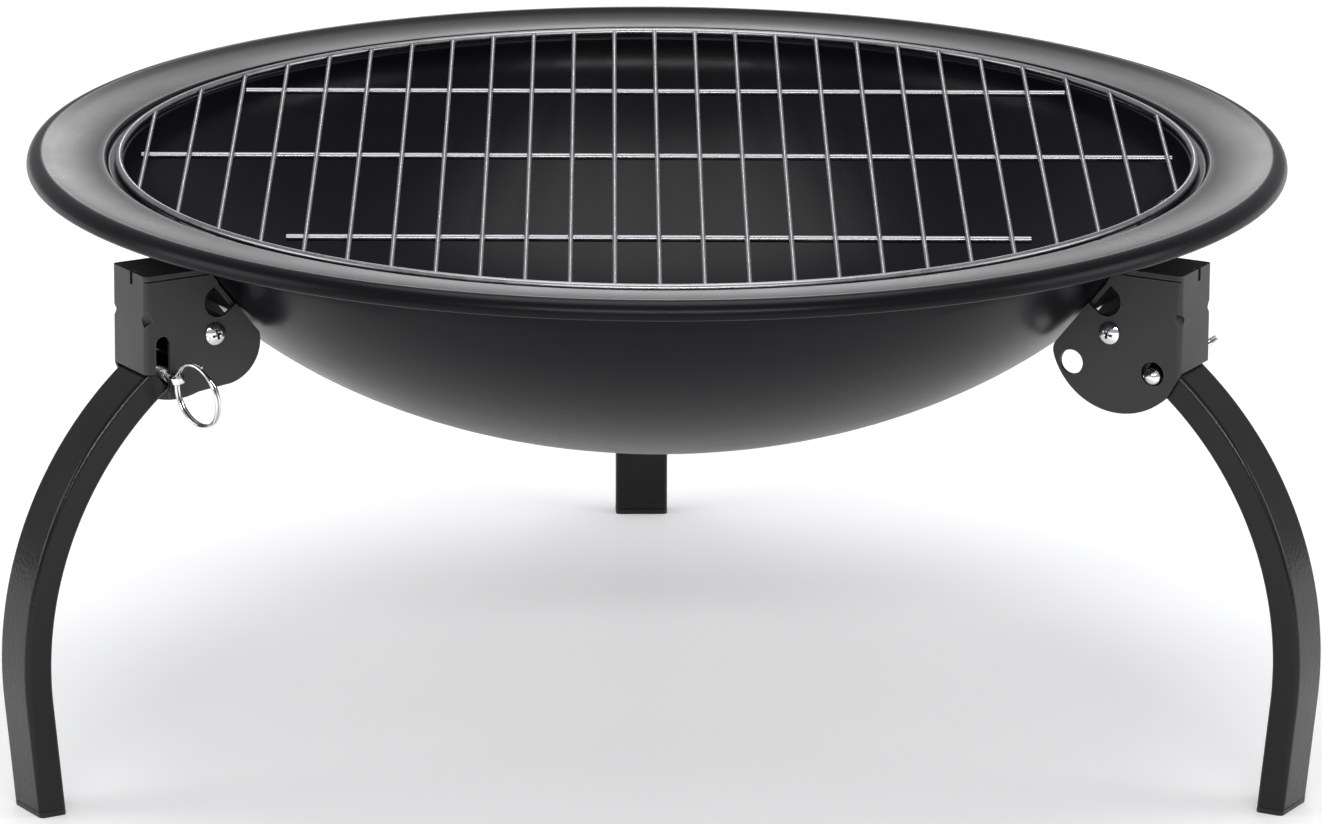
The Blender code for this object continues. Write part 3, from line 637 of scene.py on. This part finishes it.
def channel_outline():
    """The room between the ears, the roof, the web and the flange on the bowl's wall."""
    touch, up, out = wall_line()
    face = touch + out * (GAP + SHEET)
    roof = TOP - SHEET
    top = face + up * (roof - face.y) / up.y
    low = face - up * FLANGE_DROP
    floor = WEB_BOTTOM - 6 * PAST
    inner = REACH - SHEET
    away = low - out * 2 * PAST
    under_web = [(inner, WEB_BOTTOM), (REACH + PAST, WEB_BOTTOM)]
    under_ears = [(REACH + PAST, floor), (away.x - 2 * PAST, floor)]
    return [(inner, roof), *under_web, *under_ears, tuple(away), tuple(low), tuple(top)]


def make_bracket():
    half = WIDTH / 2
    inner = half - SHEET
    bracket = plate("leg_bracket_sheet", large_ear_outline(), -half, half)
    with editing(bracket, "EDGE"):
        pick(
            bracket,
            "EDGE",
            lambda middle: middle.x > REACH - GAP and abs(middle.y) > half - GAP,
        )
        bpy.ops.mesh.bevel(offset=FOLD, segments=5, affect="EDGES")
    cut(bracket, plate("channel", channel_outline(), -inner, inner))
    low = (EAR_FIELD[0], inner - GAP, EAR_FIELD[1])
    trim = block("trim", low, (REACH + PAST, half + PAST, TOP + 2 * PAST))
    cut(trim, plate("small_ear", small_ear_outline(), inner - PAST, half + 2 * PAST))
    cut(bracket, trim)
    cut_bracket_holes(bracket)
    for side in (-1, 1):
        cut_bracket_side(bracket, side)
    relief = block(
        "top_relief",
        (REACH - SHEET - GAP, RELIEF_SIDE - RELIEF_WIDTH / 2, TOP - RELIEF_DEPTH),
        (REACH + PAST, RELIEF_SIDE + RELIEF_WIDTH / 2, TOP + PAST),
    )
    return round_edges(cut(bracket, relief), SHEET_EDGE)


def cut_bracket_holes(bracket):
    past_ear = WIDTH / 2 + PAST
    pivot_hole = SLEEVE_DIAMETER / 2 + GAP
    cut(bracket, rod("pivot_hole", at(PIVOT, -past_ear), at(PIVOT, past_ear), pivot_hole))
    for hole in (LOCK_HOLE, SECOND_HOLE):
        radius = LOCK_HOLE_DIAMETER / 2
        cut(bracket, rod("lock_hole", at(hole, -past_ear), at(hole), radius, sides=48))
    cut(bracket, rod("stem_hole", at(PIN), at(PIN, past_ear), STEM_DIAMETER / 2 + GAP))
    places, out = bolt_places()
    for place in places:
        ends = place - out * PAST, place + out * PAST
        cut(bracket, rod("bolt_hole", *ends, BOLT / 2 + GAP, sides=24))


def cut_bracket_side(bracket, side):
    """The spanner's notch, the seam under the top and the dent in the fold, all on one side."""
    half = WIDTH / 2
    low, high = sorted((side * (half - SHEET - GAP), side * (half + PAST)))
    cut(bracket, plate("nut_notch", nut_notch_outline(), low, high))
    low, high = sorted((side * (half - SEAM_DEPTH), side * (half + PAST)))
    seam_start = (EAR_FIELD[0], low, TOP_SEAM[0])
    seam = block("top_seam", seam_start, (REACH + PAST, high, TOP_SEAM[1]))
    size = DENT_SIZE / 2
    dent = block("fold_dent", (-size, -size, -size), (size, size, size))
    dent.location = (REACH, side * half, DENT_HEIGHT)
    dent.rotation_euler = [math.radians(turn) for turn in DENT_TURN]
    dent.rotation_euler.x *= side
    cut(bracket, seam, settle(dent))


def nut_notch_outline():
    """The spanner's notch beside each nut: round, and open towards the bowl's wall."""
    out = wall_line()[2]
    outward = math.atan2(out.y, out.x)
    quarter = math.pi / 2
    round_end = arc(NUT_NOTCH, NUT_NOTCH_RADIUS, outward - quarter, outward + quarter)
    mouth = [tuple(Vector(corner) - out * 2 * PAST) for corner in (round_end[-1], round_end[0])]
    return round_end + mouth


def bolt_places():
    """Where the two bolts of a station leave the bowl, and the direction out of it."""
    touch, up, out = wall_line()
    centre = touch + up * BOLT_UP
    return [at(centre, y) for y in (-BOLT_SPACING / 2, BOLT_SPACING / 2)], at(out)


# The leg and its plug


def bend_centre():
    end = Vector((FOOT + STRAIGHT * math.sin(LEAN), STRAIGHT * math.cos(LEAN)))
    return end - BEND_RADIUS * Vector((math.cos(LEAN), -math.sin(LEAN)))


def down_the_leg():
    """The direction down a leg's straight end."""
    return Vector((-math.sin(LEAN), 0, -math.cos(LEAN)))


def section(name, depth, width, corner):
    """A rounded rectangle across the leg, where its bend goes over into the straight end."""
    centre = bend_centre()
    deselect_all()
    bpy.ops.mesh.primitive_plane_add(size=1, location=(centre.x + BEND_RADIUS, 0, centre.y))
    piece = named(name)
    piece.scale = (depth, width, 1)
    settle(piece)
    with editing(piece):
        bpy.ops.mesh.bevel(offset=corner, segments=5, affect="VERTICES")
        bpy.ops.transform.rotate(value=-LEAN, orient_axis="Y", center_override=at(centre))
    return piece


def make_leg():
    centre = bend_centre()
    from_centre = Vector(PIVOT) - centre
    top = math.atan2(from_centre.y, from_centre.x) + PAST_PIVOT / BEND_RADIUS
    leg = section("leg_tube", LEG_DEPTH, LEG_WIDTH, LEG_CORNER)
    with editing(leg):
        bpy.ops.mesh.delete(type="ONLY_FACE")
    straight = copy_of(leg, "leg_straight")
    with editing(leg):
        bpy.ops.mesh.spin(
            steps=LEG_BEND_STEPS, angle=top + LEAN, center=at(centre), axis=(0, 1, 0)
        )
    with editing(straight, "EDGE"):
        extrude(down_the_leg() * (STRAIGHT + PAST))
    leg = tidy_normals(join("leg_tube", [leg, straight]))
    with editing(leg):
        bpy.ops.mesh.bisect(
            plane_co=(0, 0, FLANGE + GAP), plane_no=(0, 0, 1), clear_inner=True
        )
    modifier(leg, "SOLIDIFY", thickness=LEG_WALL, offset=-1, use_even_offset=True)
    ends = at(PIVOT, -LEG_WIDTH), at(PIVOT, LEG_WIDTH)
    cut(leg, rod("pivot_hole", *ends, SLEEVE_DIAMETER / 2 + GAP), lock_slot())
    return flat_faces_flat(smooth(leg, angle=30))


def lock_slot():
    """The way of the pin's nose through the leg: about the pivot, and out of the tube."""
    pivot, pin = Vector(PIVOT), Vector(PIN)
    arm = pin - pivot
    start = math.atan2(arm.y, arm.x)
    half = NOSE_DIAMETER / 2 + LOCK_SLOT_PLAY
    end = start + LEG_DEPTH / arm.length
    outside = arc(pivot, arm.length + half, start, end)
    inside = arc(pivot, arm.length - half, end, start)
    round_end = arc(pin, half, start + math.pi, start + 2 * math.pi)[1:-1]
    return plate("lock_slot", outside + inside + round_end, -LEG_WIDTH, LEG_WIDTH)


def plug_blank(name, start, *size):
    """A length of the plug's section down the leg, longer than what is left of it."""
    blank = section(name, *size)
    with editing(blank):
        bpy.ops.transform.translate(value=down_the_leg() * start)
        extrude(down_the_leg() * PLUG_BLANK)
    return tidy_normals(blank)


def around_foot(name, low, high):
    """A block that takes in a whole foot between two heights."""
    return block(name, (FOOT_FIELD[0], -WIDTH, low), (FOOT_FIELD[1], WIDTH, high))


def make_plug():
    """A moulded plug: a flange as wide as the tube, and a stub up inside it."""
    inside = 2 * (LEG_WALL + PLUG_FIT)
    stub_start = STRAIGHT - PLUG_DEPTH - FLANGE
    stub_size = (LEG_DEPTH - inside, LEG_WIDTH - inside, PLUG_CORNER)
    flange_start = STRAIGHT - PLUG_BLANK / 2
    plug = plug_blank("leg_plug", stub_start, *stub_size)
    flange = plug_blank("plug_flange", flange_start, LEG_DEPTH, LEG_WIDTH, LEG_CORNER)
    cut(flange, around_foot("above", FLANGE, PLUG_BLANK))
    cut(plug, flange, operation="UNION")
    cut(plug, around_foot("floor", -PLUG_BLANK, 0))
    return round_edges(plug, PLUG_EDGE, angle=30)


# Pivot, lock pin, spring and pull ring


def laid_across(piece, point):
    """Turn a piece made about z so that its z runs along y, and set it down at the station."""
    piece.rotation_euler.x = -math.pi / 2
    piece.location = at(point)
    return settle(piece)


def cross_recess(piece, top, tilt):
    """The cross that a screwdriver turns, tapered into the head."""
    for turn in (RECESS_TURN, RECESS_TURN + math.pi / 2):
        tool = block("recess", *RECESS)
        with editing(tool, "FACE"):
            pick(tool, "FACE", lambda middle: middle.z < RECESS[0][2] + GAP)
            bpy.ops.transform.resize(value=RECESS_TAPER)
        tool.rotation_euler = (tilt, 0, turn)
        tool.location.z = top
        cut(piece, settle(tool))


def make_sleeve():
    """The barrel nut that the leg turns on; its head is on the pull ring's side."""
    face = WIDTH / 2 + GAP
    head, barrel = HEAD_DIAMETER / 2, SLEEVE_DIAMETER / 2
    bore = SCREW_DIAMETER / 2 + GAP
    end = -WIDTH / 2 + SHEET / 4
    bore_top = end + SCREW_LENGTH + 2 * GAP
    crown = dome(head, HEAD_HEIGHT * HEAD_CROWN, face + HEAD_HEIGHT)
    edge = [(head, face), (barrel, face), (barrel, end), (bore, end), (bore, bore_top)]
    sleeve = turned("pivot_sleeve", [*crown, *edge, (0, bore_top)])
    cross_recess(sleeve, face + HEAD_HEIGHT, tilt=0)
    return laid_across(round_edges(sleeve, HEAD_EDGE, flat=False), PIVOT)


def make_screw():
    face = -WIDTH / 2 - GAP
    end = -WIDTH / 2 + SHEET / 4 + SCREW_LENGTH
    head, shank = HEAD_DIAMETER / 2, SCREW_DIAMETER / 2
    crown = dome_below(head, HEAD_HEIGHT * HEAD_CROWN, face - HEAD_HEIGHT)
    profile = [(0, end), (shank, end), (shank, face), (head, face), *crown]
    screw = turned("pivot_screw", profile)
    cross_recess(screw, face - HEAD_HEIGHT, tilt=math.pi)
    return laid_across(round_edges(screw, HEAD_EDGE, flat=False), PIVOT)


def make_pin():
    """The lock pin, about its own axis: a nose, a stem and the eye for the pull ring."""
    nose, stem, ear = NOSE_DIAMETER / 2, STEM_DIAMETER / 2, WIDTH / 2
    eye = ear + EYE_OUT
    crown = dome_below(nose, nose * NOSE_CROWN, -ear - TIP_PROUD)
    profile = [(0, eye), (stem, eye), (stem, NOSE_END), (nose, NOSE_END), *crown]
    pin = laid_across(turned("lock_pin", profile), (0, 0))
    centre = Vector((0, eye, 0))
    thick = Vector((0, 0, EYE_THICKNESS / 2))
    cut(pin, rod("eye", centre - thick, centre + thick, EYE_RADIUS), operation="UNION")
    cut(pin, rod("eye_hole", centre - thick * 3, centre + thick * 3, EYE_HOLE / 2))
    return round_edges(pin, PIN_EDGE, flat=False)


def make_spring():
    low = NOSE_END + GAP + SPRING_WIRE / 2
    high = WIDTH / 2 - SHEET - GAP - SPRING_WIRE / 2
    radius = STEM_DIAMETER / 2 + 2 * GAP + SPRING_WIRE / 2
    count = SPRING_TURNS * SPRING_STEPS
    points = []
    for i in range(count + 1):
        angle = 2 * math.pi * i / SPRING_STEPS
        y = low + (high - low) * i / count
        points.append((radius * math.cos(angle), y, radius * math.sin(angle)))
    return smooth(wire_along("lock_spring", points, SPRING_WIRE / 2, detail=2), angle=60)


def make_pull_ring():
    """Split ring: each turn lies flat, and the wire steps over to the next in a short stretch."""
    crossing, length = PULL_CROSSING
    points = []
    for i in range(2 * PULL_STEPS):
        turns = i / PULL_STEPS
        step = min(1, max(0, (turns % 1 - crossing) / length))
        level = int(turns) + step * step * (3 - 2 * step)
        offset = (min(level, 1) - 0.5) * PULL_PITCH
        angle = 2 * math.pi * turns + PULL_START
        points.append((offset, PULL_RADIUS * math.cos(angle), PULL_RADIUS * math.sin(angle)))
    ring = wire_along("pull_ring", points, PULL_WIRE / 2, detail=3)
    ring.location = Vector((0, math.cos(PULL_DROOP), -math.sin(PULL_DROOP))) * PULL_RADIUS
    return smooth(settle(ring), angle=60)


# Bolts and nuts, made about z, which points out of the bowl


def make_bolt():
    inside = BOWL_SHEET + BOLT_UNDER_HEAD
    end = 2 * GAP + SHEET + NUT_HEIGHT + BOLT_PROUD
    shank = BOLT / 2
    crown_height = BOLT_HEAD_HEIGHT * BOLT_CROWN
    crown = dome_below(BOLT_HEAD_RADIUS, crown_height, -inside - BOLT_HEAD_HEIGHT)
    profile = [
        (0, end),
        (shank - BOLT_CHAMFER, end),
        (shank, end - BOLT_CHAMFER),
        (shank, -inside),
        (BOLT_HEAD_RADIUS, -inside),
        *crown,
    ]
    return round_edges(turned("bowl_bolt", profile, steps=32), BOLT_EDGE)


def make_nut():
    """A hexagon nut whose corners are turned off at both faces."""
    low = 2 * GAP + SHEET
    top = low + NUT_HEIGHT
    corner = NUT / math.sqrt(3)
    face = NUT / 2 * NUT_FACE
    clear = corner + NUT_CLEAR
    nut = rod("bowl_nut", (0, 0, low), (0, 0, top), corner, sides=6)
    profile = [
        (0, top),
        (face, top),
        (corner, top - NUT_CHAMFER),
        (clear, top - NUT_CHAMFER - NUT_STEP),
        (clear, low + NUT_CHAMFER),
        (face, low),
        (0, low),
    ]
    cut(nut, turned("nut_chamfer", profile, steps=32), operation="INTERSECT")
    bore = rod("nut_bore", (0, 0, low - PAST / 2), (0, 0, low + PAST), BOLT / 2 + GAP, sides=24)
    return round_edges(cut(nut, bore), NUT_EDGE, angle=25)


# Materials


def with_values(node, values):
    """Plain values on a node's sockets; a socket's name is written with _ for a space."""
    for name, value in values.items():
        node.inputs[name.replace("_", " ")].default_value = value
    return node


def add(tree, kind, **values):
    return with_values(tree.nodes.new(kind), values)


def calculate(tree, kind, operation, *sources):
    """A maths node with its operation, fed in order."""
    node = tree.nodes.new(kind)
    node.operation = operation
    for number, source in enumerate(sources):
        tree.links.new(source, node.inputs[number])
    return node


def texture_group(name, *inputs):
    """An empty texture group. Each one gives the same four things to a material."""
    tree = bpy.data.node_groups.new(name, "ShaderNodeTree")
    sockets = [(given, "INPUT", "Float") for given in inputs]
    sockets += [("Normal", "OUTPUT", "Vector"), ("Roughness", "OUTPUT", "Float")]
    # The last output says where light or shade is painted: a painted edge sheen on paint, painted
    # shade with some grime in metal's hollows
    sockets += [("Mottle", "OUTPUT", "Float"), ("Painted Light", "OUTPUT", "Float")]
    for socket, direction, kind in sockets:
        tree.interface.new_socket(
            name=socket, in_out=direction, socket_type=f"NodeSocket{kind}"
        )
    given, out = tree.nodes.new("NodeGroupInput"), tree.nodes.new("NodeGroupOutput")
    return tree, given, out, add(tree, "ShaderNodeTexCoord").outputs["Object"]


def add_relief(tree, given, out, where, noise):
    """Noise raised as fine relief."""
    tree.links.new(where, noise.inputs["Vector"])
    bump = add(tree, "ShaderNodeBump", Distance=0.001)
    tree.links.new(given.outputs["Relief Height"], bump.inputs["Strength"])
    tree.links.new(noise.outputs["Fac"], bump.inputs["Height"])
    tree.links.new(bump.outputs["Normal"], out.inputs["Normal"])


def add_mottle(tree, given, out, where, noise, spread):
    """Noise as a mask, and spread between the lowest and the highest roughness."""
    tree.links.new(where, noise.inputs["Vector"])
    tree.links.new(noise.outputs["Fac"], spread.inputs["Value"])
    tree.links.new(given.outputs["Rough Low"], spread.inputs["To Min"])
    tree.links.new(given.outputs["Rough High"], spread.inputs["To Max"])
    tree.links.new(spread.outputs["Result"], out.inputs["Roughness"])
    tree.links.new(noise.outputs["Fac"], out.inputs["Mottle"])


def make_paint_texture():
    """Sprayed paint: fine orange peel, cloudy gloss, and a painted sheen that lightens the edges."""
    tree, given, out, where = texture_group(
        "sprayed_paint", "Relief Scale", "Relief Height", "Rough Low", "Rough High", "Edge Width"
    )
    link = tree.links.new
    peel = add(tree, "ShaderNodeTexNoise", Detail=3.0, Roughness=0.5)
    link(given.outputs["Relief Scale"], peel.inputs["Scale"])
    add_relief(tree, given, out, where, peel)
    cloud = add(tree, "ShaderNodeTexNoise", Scale=14.0, Detail=5.0, Roughness=0.62)
    spread = add(tree, "ShaderNodeMapRange", From_Min=0.35, From_Max=0.65)
    add_mottle(tree, given, out, where, cloud, spread)
    # Painted sheen: edges get a lighter colour, standing in for the light that they catch
    rounded = add(tree, "ShaderNodeBevel")
    link(given.outputs["Edge Width"], rounded.inputs["Radius"])
    unrounded = add(tree, "ShaderNodeNewGeometry")
    normals = rounded.outputs["Normal"], unrounded.outputs["Normal"]
    compare = calculate(tree, "ShaderNodeVectorMath", "DOT_PRODUCT", *normals)
    edge = add(tree, "ShaderNodeMapRange", From_Min=0.99, From_Max=0.86, To_Min=0.0, To_Max=1.0)
    link(compare.outputs["Value"], edge.inputs["Value"])
    link(edge.outputs["Result"], out.inputs["Painted Light"])
    return tree


def make_metal_texture():
    """Plated metal: faint waves from polishing, handling haze, and painted shade with some grime
    darkening its hollows.
    """
    tree, given, out, where = texture_group(
        "plated_metal", "Relief Height", "Rough Low", "Rough High", "Hollow Reach"
    )
    link = tree.links.new
    wave = add(tree, "ShaderNodeTexNoise", Scale=260.0, Detail=2.0, Roughness=0.5)
    add_relief(tree, given, out, where, wave)
    haze = add(tree, "ShaderNodeTexNoise", Scale=90.0, Detail=6.0, Roughness=0.7)
    spread = add(tree, "ShaderNodeMapRange", From_Min=0.38, From_Max=0.66)
    add_mottle(tree, given, out, where, haze, spread)
    # Painted shade with some grime: ambient occlusion darkens the colour in hollows, where shade falls
    hollow = add(tree, "ShaderNodeAmbientOcclusion")
    hollow.only_local = True
    hollow.samples = 8
    link(given.outputs["Hollow Reach"], hollow.inputs["Distance"])
    hollow_shade_and_grime = add(tree, "ShaderNodeMapRange", From_Min=0.85, From_Max=0.40, To_Min=0.0, To_Max=1.0)
    link(hollow.outputs["AO"], hollow_shade_and_grime.inputs["Value"])
    link(hollow_shade_and_grime.outputs["Result"], out.inputs["Painted Light"])
    return tree


def new_material(name):
    made = bpy.data.materials.new(name)
    made.use_nodes = True
    return made, made.node_tree, made.node_tree.nodes["Principled BSDF"]


def mix_colours(tree, mask, low, high):
    """Blend from one colour to another by a mask; the first may be a socket."""
    mix = tree.nodes.new("ShaderNodeMix")
    mix.data_type = "RGBA"
    if isinstance(low, tuple):
        mix.inputs["A"].default_value = (*low, 1)
    else:
        tree.links.new(low, mix.inputs["A"])
    mix.inputs["B"].default_value = (*high, 1)
    tree.links.new(mask, mix.inputs["Factor"])
    return mix.outputs["Result"]


def finish(name, texture, dark, light, painted_light, shader_values, **values):
    """A material with two colours mottled by its texture, and a third laid over them in places as
    painted light: a painted edge sheen on paint, painted shade with some grime in the hollows of
    metal.
    """
    made, tree, shader = new_material(name)
    group = tree.nodes.new("ShaderNodeGroup")
    group.node_tree = texture
    with_values(group, values)
    body = mix_colours(tree, group.outputs["Mottle"], dark, light)
    colour = mix_colours(tree, group.outputs["Painted Light"], body, painted_light)
    tree.links.new(colour, shader.inputs["Base Color"])
    for socket in ("Roughness", "Normal"):
        tree.links.new(group.outputs[socket], shader.inputs[socket])
    with_values(shader, shader_values)
    return made


def painted(name, texture, dark, light, painted_light, specular, **values):
    return finish(
        name, texture, dark, light, painted_light, {"Specular_IOR_Level": specular}, **values
    )


def plated(name, texture, dark, light, **values):
    # Plated metal is given painted shade with some grime in its hollows
    return finish(name, texture, dark, light, SHADE_AND_GRIME, {"Metallic": 1.0}, **values)


def make_materials():
    paint = make_paint_texture()
    metal = make_metal_texture()
    # Each paint's third colour is a painted sheen on its edges; plated metal gets painted shade with
    # some grime in its hollows
    return {
        "bowl_paint": painted(
            "bowl_satin_paint", paint,
            dark=(0.0025, 0.0025, 0.0035), light=(0.0045, 0.0045, 0.0060),
            painted_light=(0.03, 0.03, 0.035), specular=0.14,
            Relief_Scale=900.0, Relief_Height=0.04, Rough_Low=0.27, Rough_High=0.31,
            Edge_Width=0.0006,
        ),
        "bracket_paint": painted(
            "bracket_satin_paint", paint,
            dark=(0.014, 0.014, 0.015), light=(0.022, 0.022, 0.023),
            painted_light=(0.09, 0.09, 0.09), specular=0.5,
            Relief_Scale=1400.0, Relief_Height=0.10, Rough_Low=0.40, Rough_High=0.52,
            Edge_Width=0.0005,
        ),
        "leg_paint": painted(
            "leg_gloss_paint", paint,
            dark=(0.003, 0.003, 0.003), light=(0.006, 0.006, 0.006),
            painted_light=(0.03, 0.03, 0.03), specular=0.3,
            Relief_Scale=500.0, Relief_Height=0.12, Rough_Low=0.16, Rough_High=0.28,
            Edge_Width=0.0006,
        ),
        "plug_plastic": painted(
            "plug_plastic", paint,
            dark=(0.006, 0.006, 0.006), light=(0.010, 0.010, 0.010),
            painted_light=(0.03, 0.03, 0.03), specular=0.4,
            Relief_Scale=2200.0, Relief_Height=0.12, Rough_Low=0.32, Rough_High=0.44,
            Edge_Width=0.0004,
        ),
        "chrome_wire": plated(
            "grate_chrome", metal, dark=(0.25, 0.253, 0.265), light=(0.40, 0.404, 0.42),
            Relief_Height=0.05, Rough_Low=0.26, Rough_High=0.40, Hollow_Reach=0.0012,
        ),
        "chrome_fixings": plated(
            "fixing_chrome", metal, dark=(0.72, 0.73, 0.75), light=(0.86, 0.87, 0.88),
            Relief_Height=0.05, Rough_Low=0.07, Rough_High=0.18, Hollow_Reach=0.0015,
        ),
        "zinc_fixings": plated(
            "zinc_plating", metal, dark=(0.50, 0.51, 0.52), light=(0.66, 0.67, 0.68),
            Relief_Height=0.10, Rough_Low=0.24, Rough_High=0.40, Hollow_Reach=0.0015,
        ),
    }


# The studio


def make_floor():
    """Pale paper. It glows a little where it is seen, and more so the farther away it lies."""
    deselect_all()
    bpy.ops.mesh.primitive_plane_add(size=FLOOR_SIZE)
    floor = named("studio_floor")
    made, tree, shader = new_material("studio_floor_paper")
    link = tree.links.new
    where = add(tree, "ShaderNodeTexCoord").outputs["Object"]
    grain = add(tree, "ShaderNodeTexNoise", Scale=3.0, Detail=4.0)
    link(where, grain.inputs["Vector"])
    tone = mix_colours(tree, grain.outputs["Fac"], *FLOOR_TONES)
    link(tone, shader.inputs["Base Color"])
    path = add(tree, "ShaderNodeLightPath")
    rays = path.outputs["Is Camera Ray"], path.outputs["Is Glossy Ray"]
    seen = calculate(tree, "ShaderNodeMath", "MAXIMUM", *rays)
    away = calculate(tree, "ShaderNodeVectorMath", "LENGTH", where)
    near, far = FLOOR_FADE
    lift = add(
        tree, "ShaderNodeMapRange",
        From_Min=near, From_Max=far, To_Min=FLOOR_LIFT, To_Max=FLOOR_LIFT_FAR,
    )
    lift.interpolation_type = "SMOOTHSTEP"
    link(away.outputs["Value"], lift.inputs["Value"])
    shares = seen.outputs["Value"], lift.outputs["Result"]
    glow = calculate(tree, "ShaderNodeMath", "MULTIPLY", *shares)
    link(glow.outputs["Value"], shader.inputs["Emission Color"])
    with_values(shader, {"Emission_Strength": 1.0, "Roughness": 0.9, "Specular_IOR_Level": 0.1})
    floor.data.materials.append(made)


def softbox(name, size, place, aim, watts):
    data = bpy.data.lights.new(name, "AREA")
    data.shape = "RECTANGLE"
    data.size, data.size_y = size
    data.energy = watts
    lamp = bpy.data.objects.new(name, data)
    lamp.location = place
    lamp.rotation_euler = (Vector(aim) - Vector(place)).to_track_quat("-Z", "Y").to_euler()
    lamp.visible_camera = False
    bpy.context.scene.collection.objects.link(lamp)


def make_studio():
    make_floor()
    world = bpy.data.worlds.new("studio_air")
    world.use_nodes = True
    sky = world.node_tree.nodes["Background"]
    with_values(sky, {"Color": WORLD_COLOUR, "Strength": WORLD_STRENGTH})
    bpy.context.scene.world = world
    for box in SOFTBOXES:
        softbox(*box)
    bpy.context.scene.view_settings.view_transform = "Standard"


def make_camera():
    forward = Vector(CAMERA_FORWARD).normalized()
    right = Vector(CAMERA_RIGHT).normalized()
    up = right.cross(forward)
    data = bpy.data.cameras.new("photo_camera")
    data.lens = CAMERA_LENS
    data.sensor_width = 36
    data.clip_end = 100
    camera = bpy.data.objects.new("photo_camera", data)
    turn = Matrix((right, up, -forward)).transposed().to_4x4()
    camera.matrix_world = Matrix.Translation(CAMERA_PLACE) @ turn
    bpy.context.scene.collection.objects.link(camera)
    bpy.context.scene.camera = camera


# Putting it together


def dress(piece, material, slot, body, *nodes):
    """Give a piece its finish and its body, and hide the CAD nodes that it stands for."""
    piece.data.materials.clear()
    piece.data.materials.append(material)
    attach(piece, body)
    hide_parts(*nodes)


def to_station(piece, number):
    piece.rotation_euler.z = STATIONS[number]
    piece.location = (0, AXIS_Y, 0)
    return settle(piece)


def hang(ring, number):
    """Hang a pull ring in its pin's eye, turned as it rests there."""
    ring.rotation_euler.z = PULL_TURNS[number]
    ring.location.y = WIDTH / 2 + EYE_OUT
    return settle(ring)


def roll(piece, number):
    """Roll the pin, or what is on it, about the pin's own axis, and set it down in its hole."""
    piece.rotation_euler.y = PIN_ROLLS[number]
    piece.location = at(PIN)
    return settle(piece)


def press_spring(spring):
    """Give the spring its own mesh. The spring is pressed against its ear when the pin is pulled;
    nothing here presses it.
    """
    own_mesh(spring)


def set_out_of_bowl(piece, place, out):
    """Set down a piece made about z: its z points out of the bowl."""
    piece.rotation_mode = "QUATERNION"
    piece.rotation_quaternion = out.to_track_quat("Z", "Y")
    piece.location = place
    return settle(piece)


def fill_stations(materials):
    """Copy each modelled piece to the three stations. The models themselves are then removed."""
    kinds = (  # model, node, body, material, slot
        (make_bracket(), "leg_bracket", "bowl", "bracket_paint", "bowl_paint"),
        (make_leg(), "leg", "leg", "leg_paint", "leg_paint"),
        (make_plug(), "leg_foot_plug", "leg", "plug_plastic", "plug_plastic"),
        (make_sleeve(), "pivot_sleeve", "bowl", "chrome_fixings", "chrome_fixings"),
        (make_screw(), "pivot_screw", "bowl", "chrome_fixings", "chrome_fixings"),
        (make_pin(), "lock_pin", "lock_pin", "chrome_fixings", "chrome_fixings"),
        (make_spring(), "lock_spring", "bowl", "zinc_fixings", "zinc_fixings"),
        (make_pull_ring(), "pull_ring", "pull_ring", "chrome_fixings", "chrome_fixings"),
    )
    for number in STATIONS:
        for model, node, body, material, slot in kinds:
            piece = copy_of(model, f"{node}_piece_{number}")
            if node == "pull_ring":
                hang(piece, number)
            if node in ("lock_pin", "lock_spring", "pull_ring"):
                roll(piece, number)
            to_station(piece, number)
            rides_on = body if body == "bowl" else f"{body}_{number}"
            dress(piece, materials[material], slot, rides_on, f"{node}_{number}")
            if node == "lock_spring":
                press_spring(piece)
    for model, *_ in kinds:
        throw_away(model)


def fill_bolts(materials):
    """Copy the bolt and the nut to their six places."""
    places, out = bolt_places()
    zinc = "zinc_fixings"
    models = {"bowl_bolt": make_bolt(), "bowl_nut": make_nut()}
    for number in STATIONS:
        for letter, place in zip("ab", places):
            for node, model in models.items():
                piece = copy_of(model, f"{node}_piece_{number}{letter}")
                to_station(set_out_of_bowl(piece, place, out), number)
                dress(piece, materials[zinc], zinc, "bowl", f"{node}_{number}{letter}")
    for model in models.values():
        throw_away(model)


def main():
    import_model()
    make_camera()
    make_studio()
    materials = make_materials()
    for piece, material, body, node in (
        (make_bowl(), "bowl_paint", "bowl", "fire_bowl"),
        (make_grate(), "chrome_wire", "grate", "cooking_grate"),
    ):
        piece.location = (0, AXIS_Y, 0)
        dress(settle(piece), materials[material], material, body, node)
    fill_stations(materials)
    fill_bolts(materials)
    deselect_all()


main()
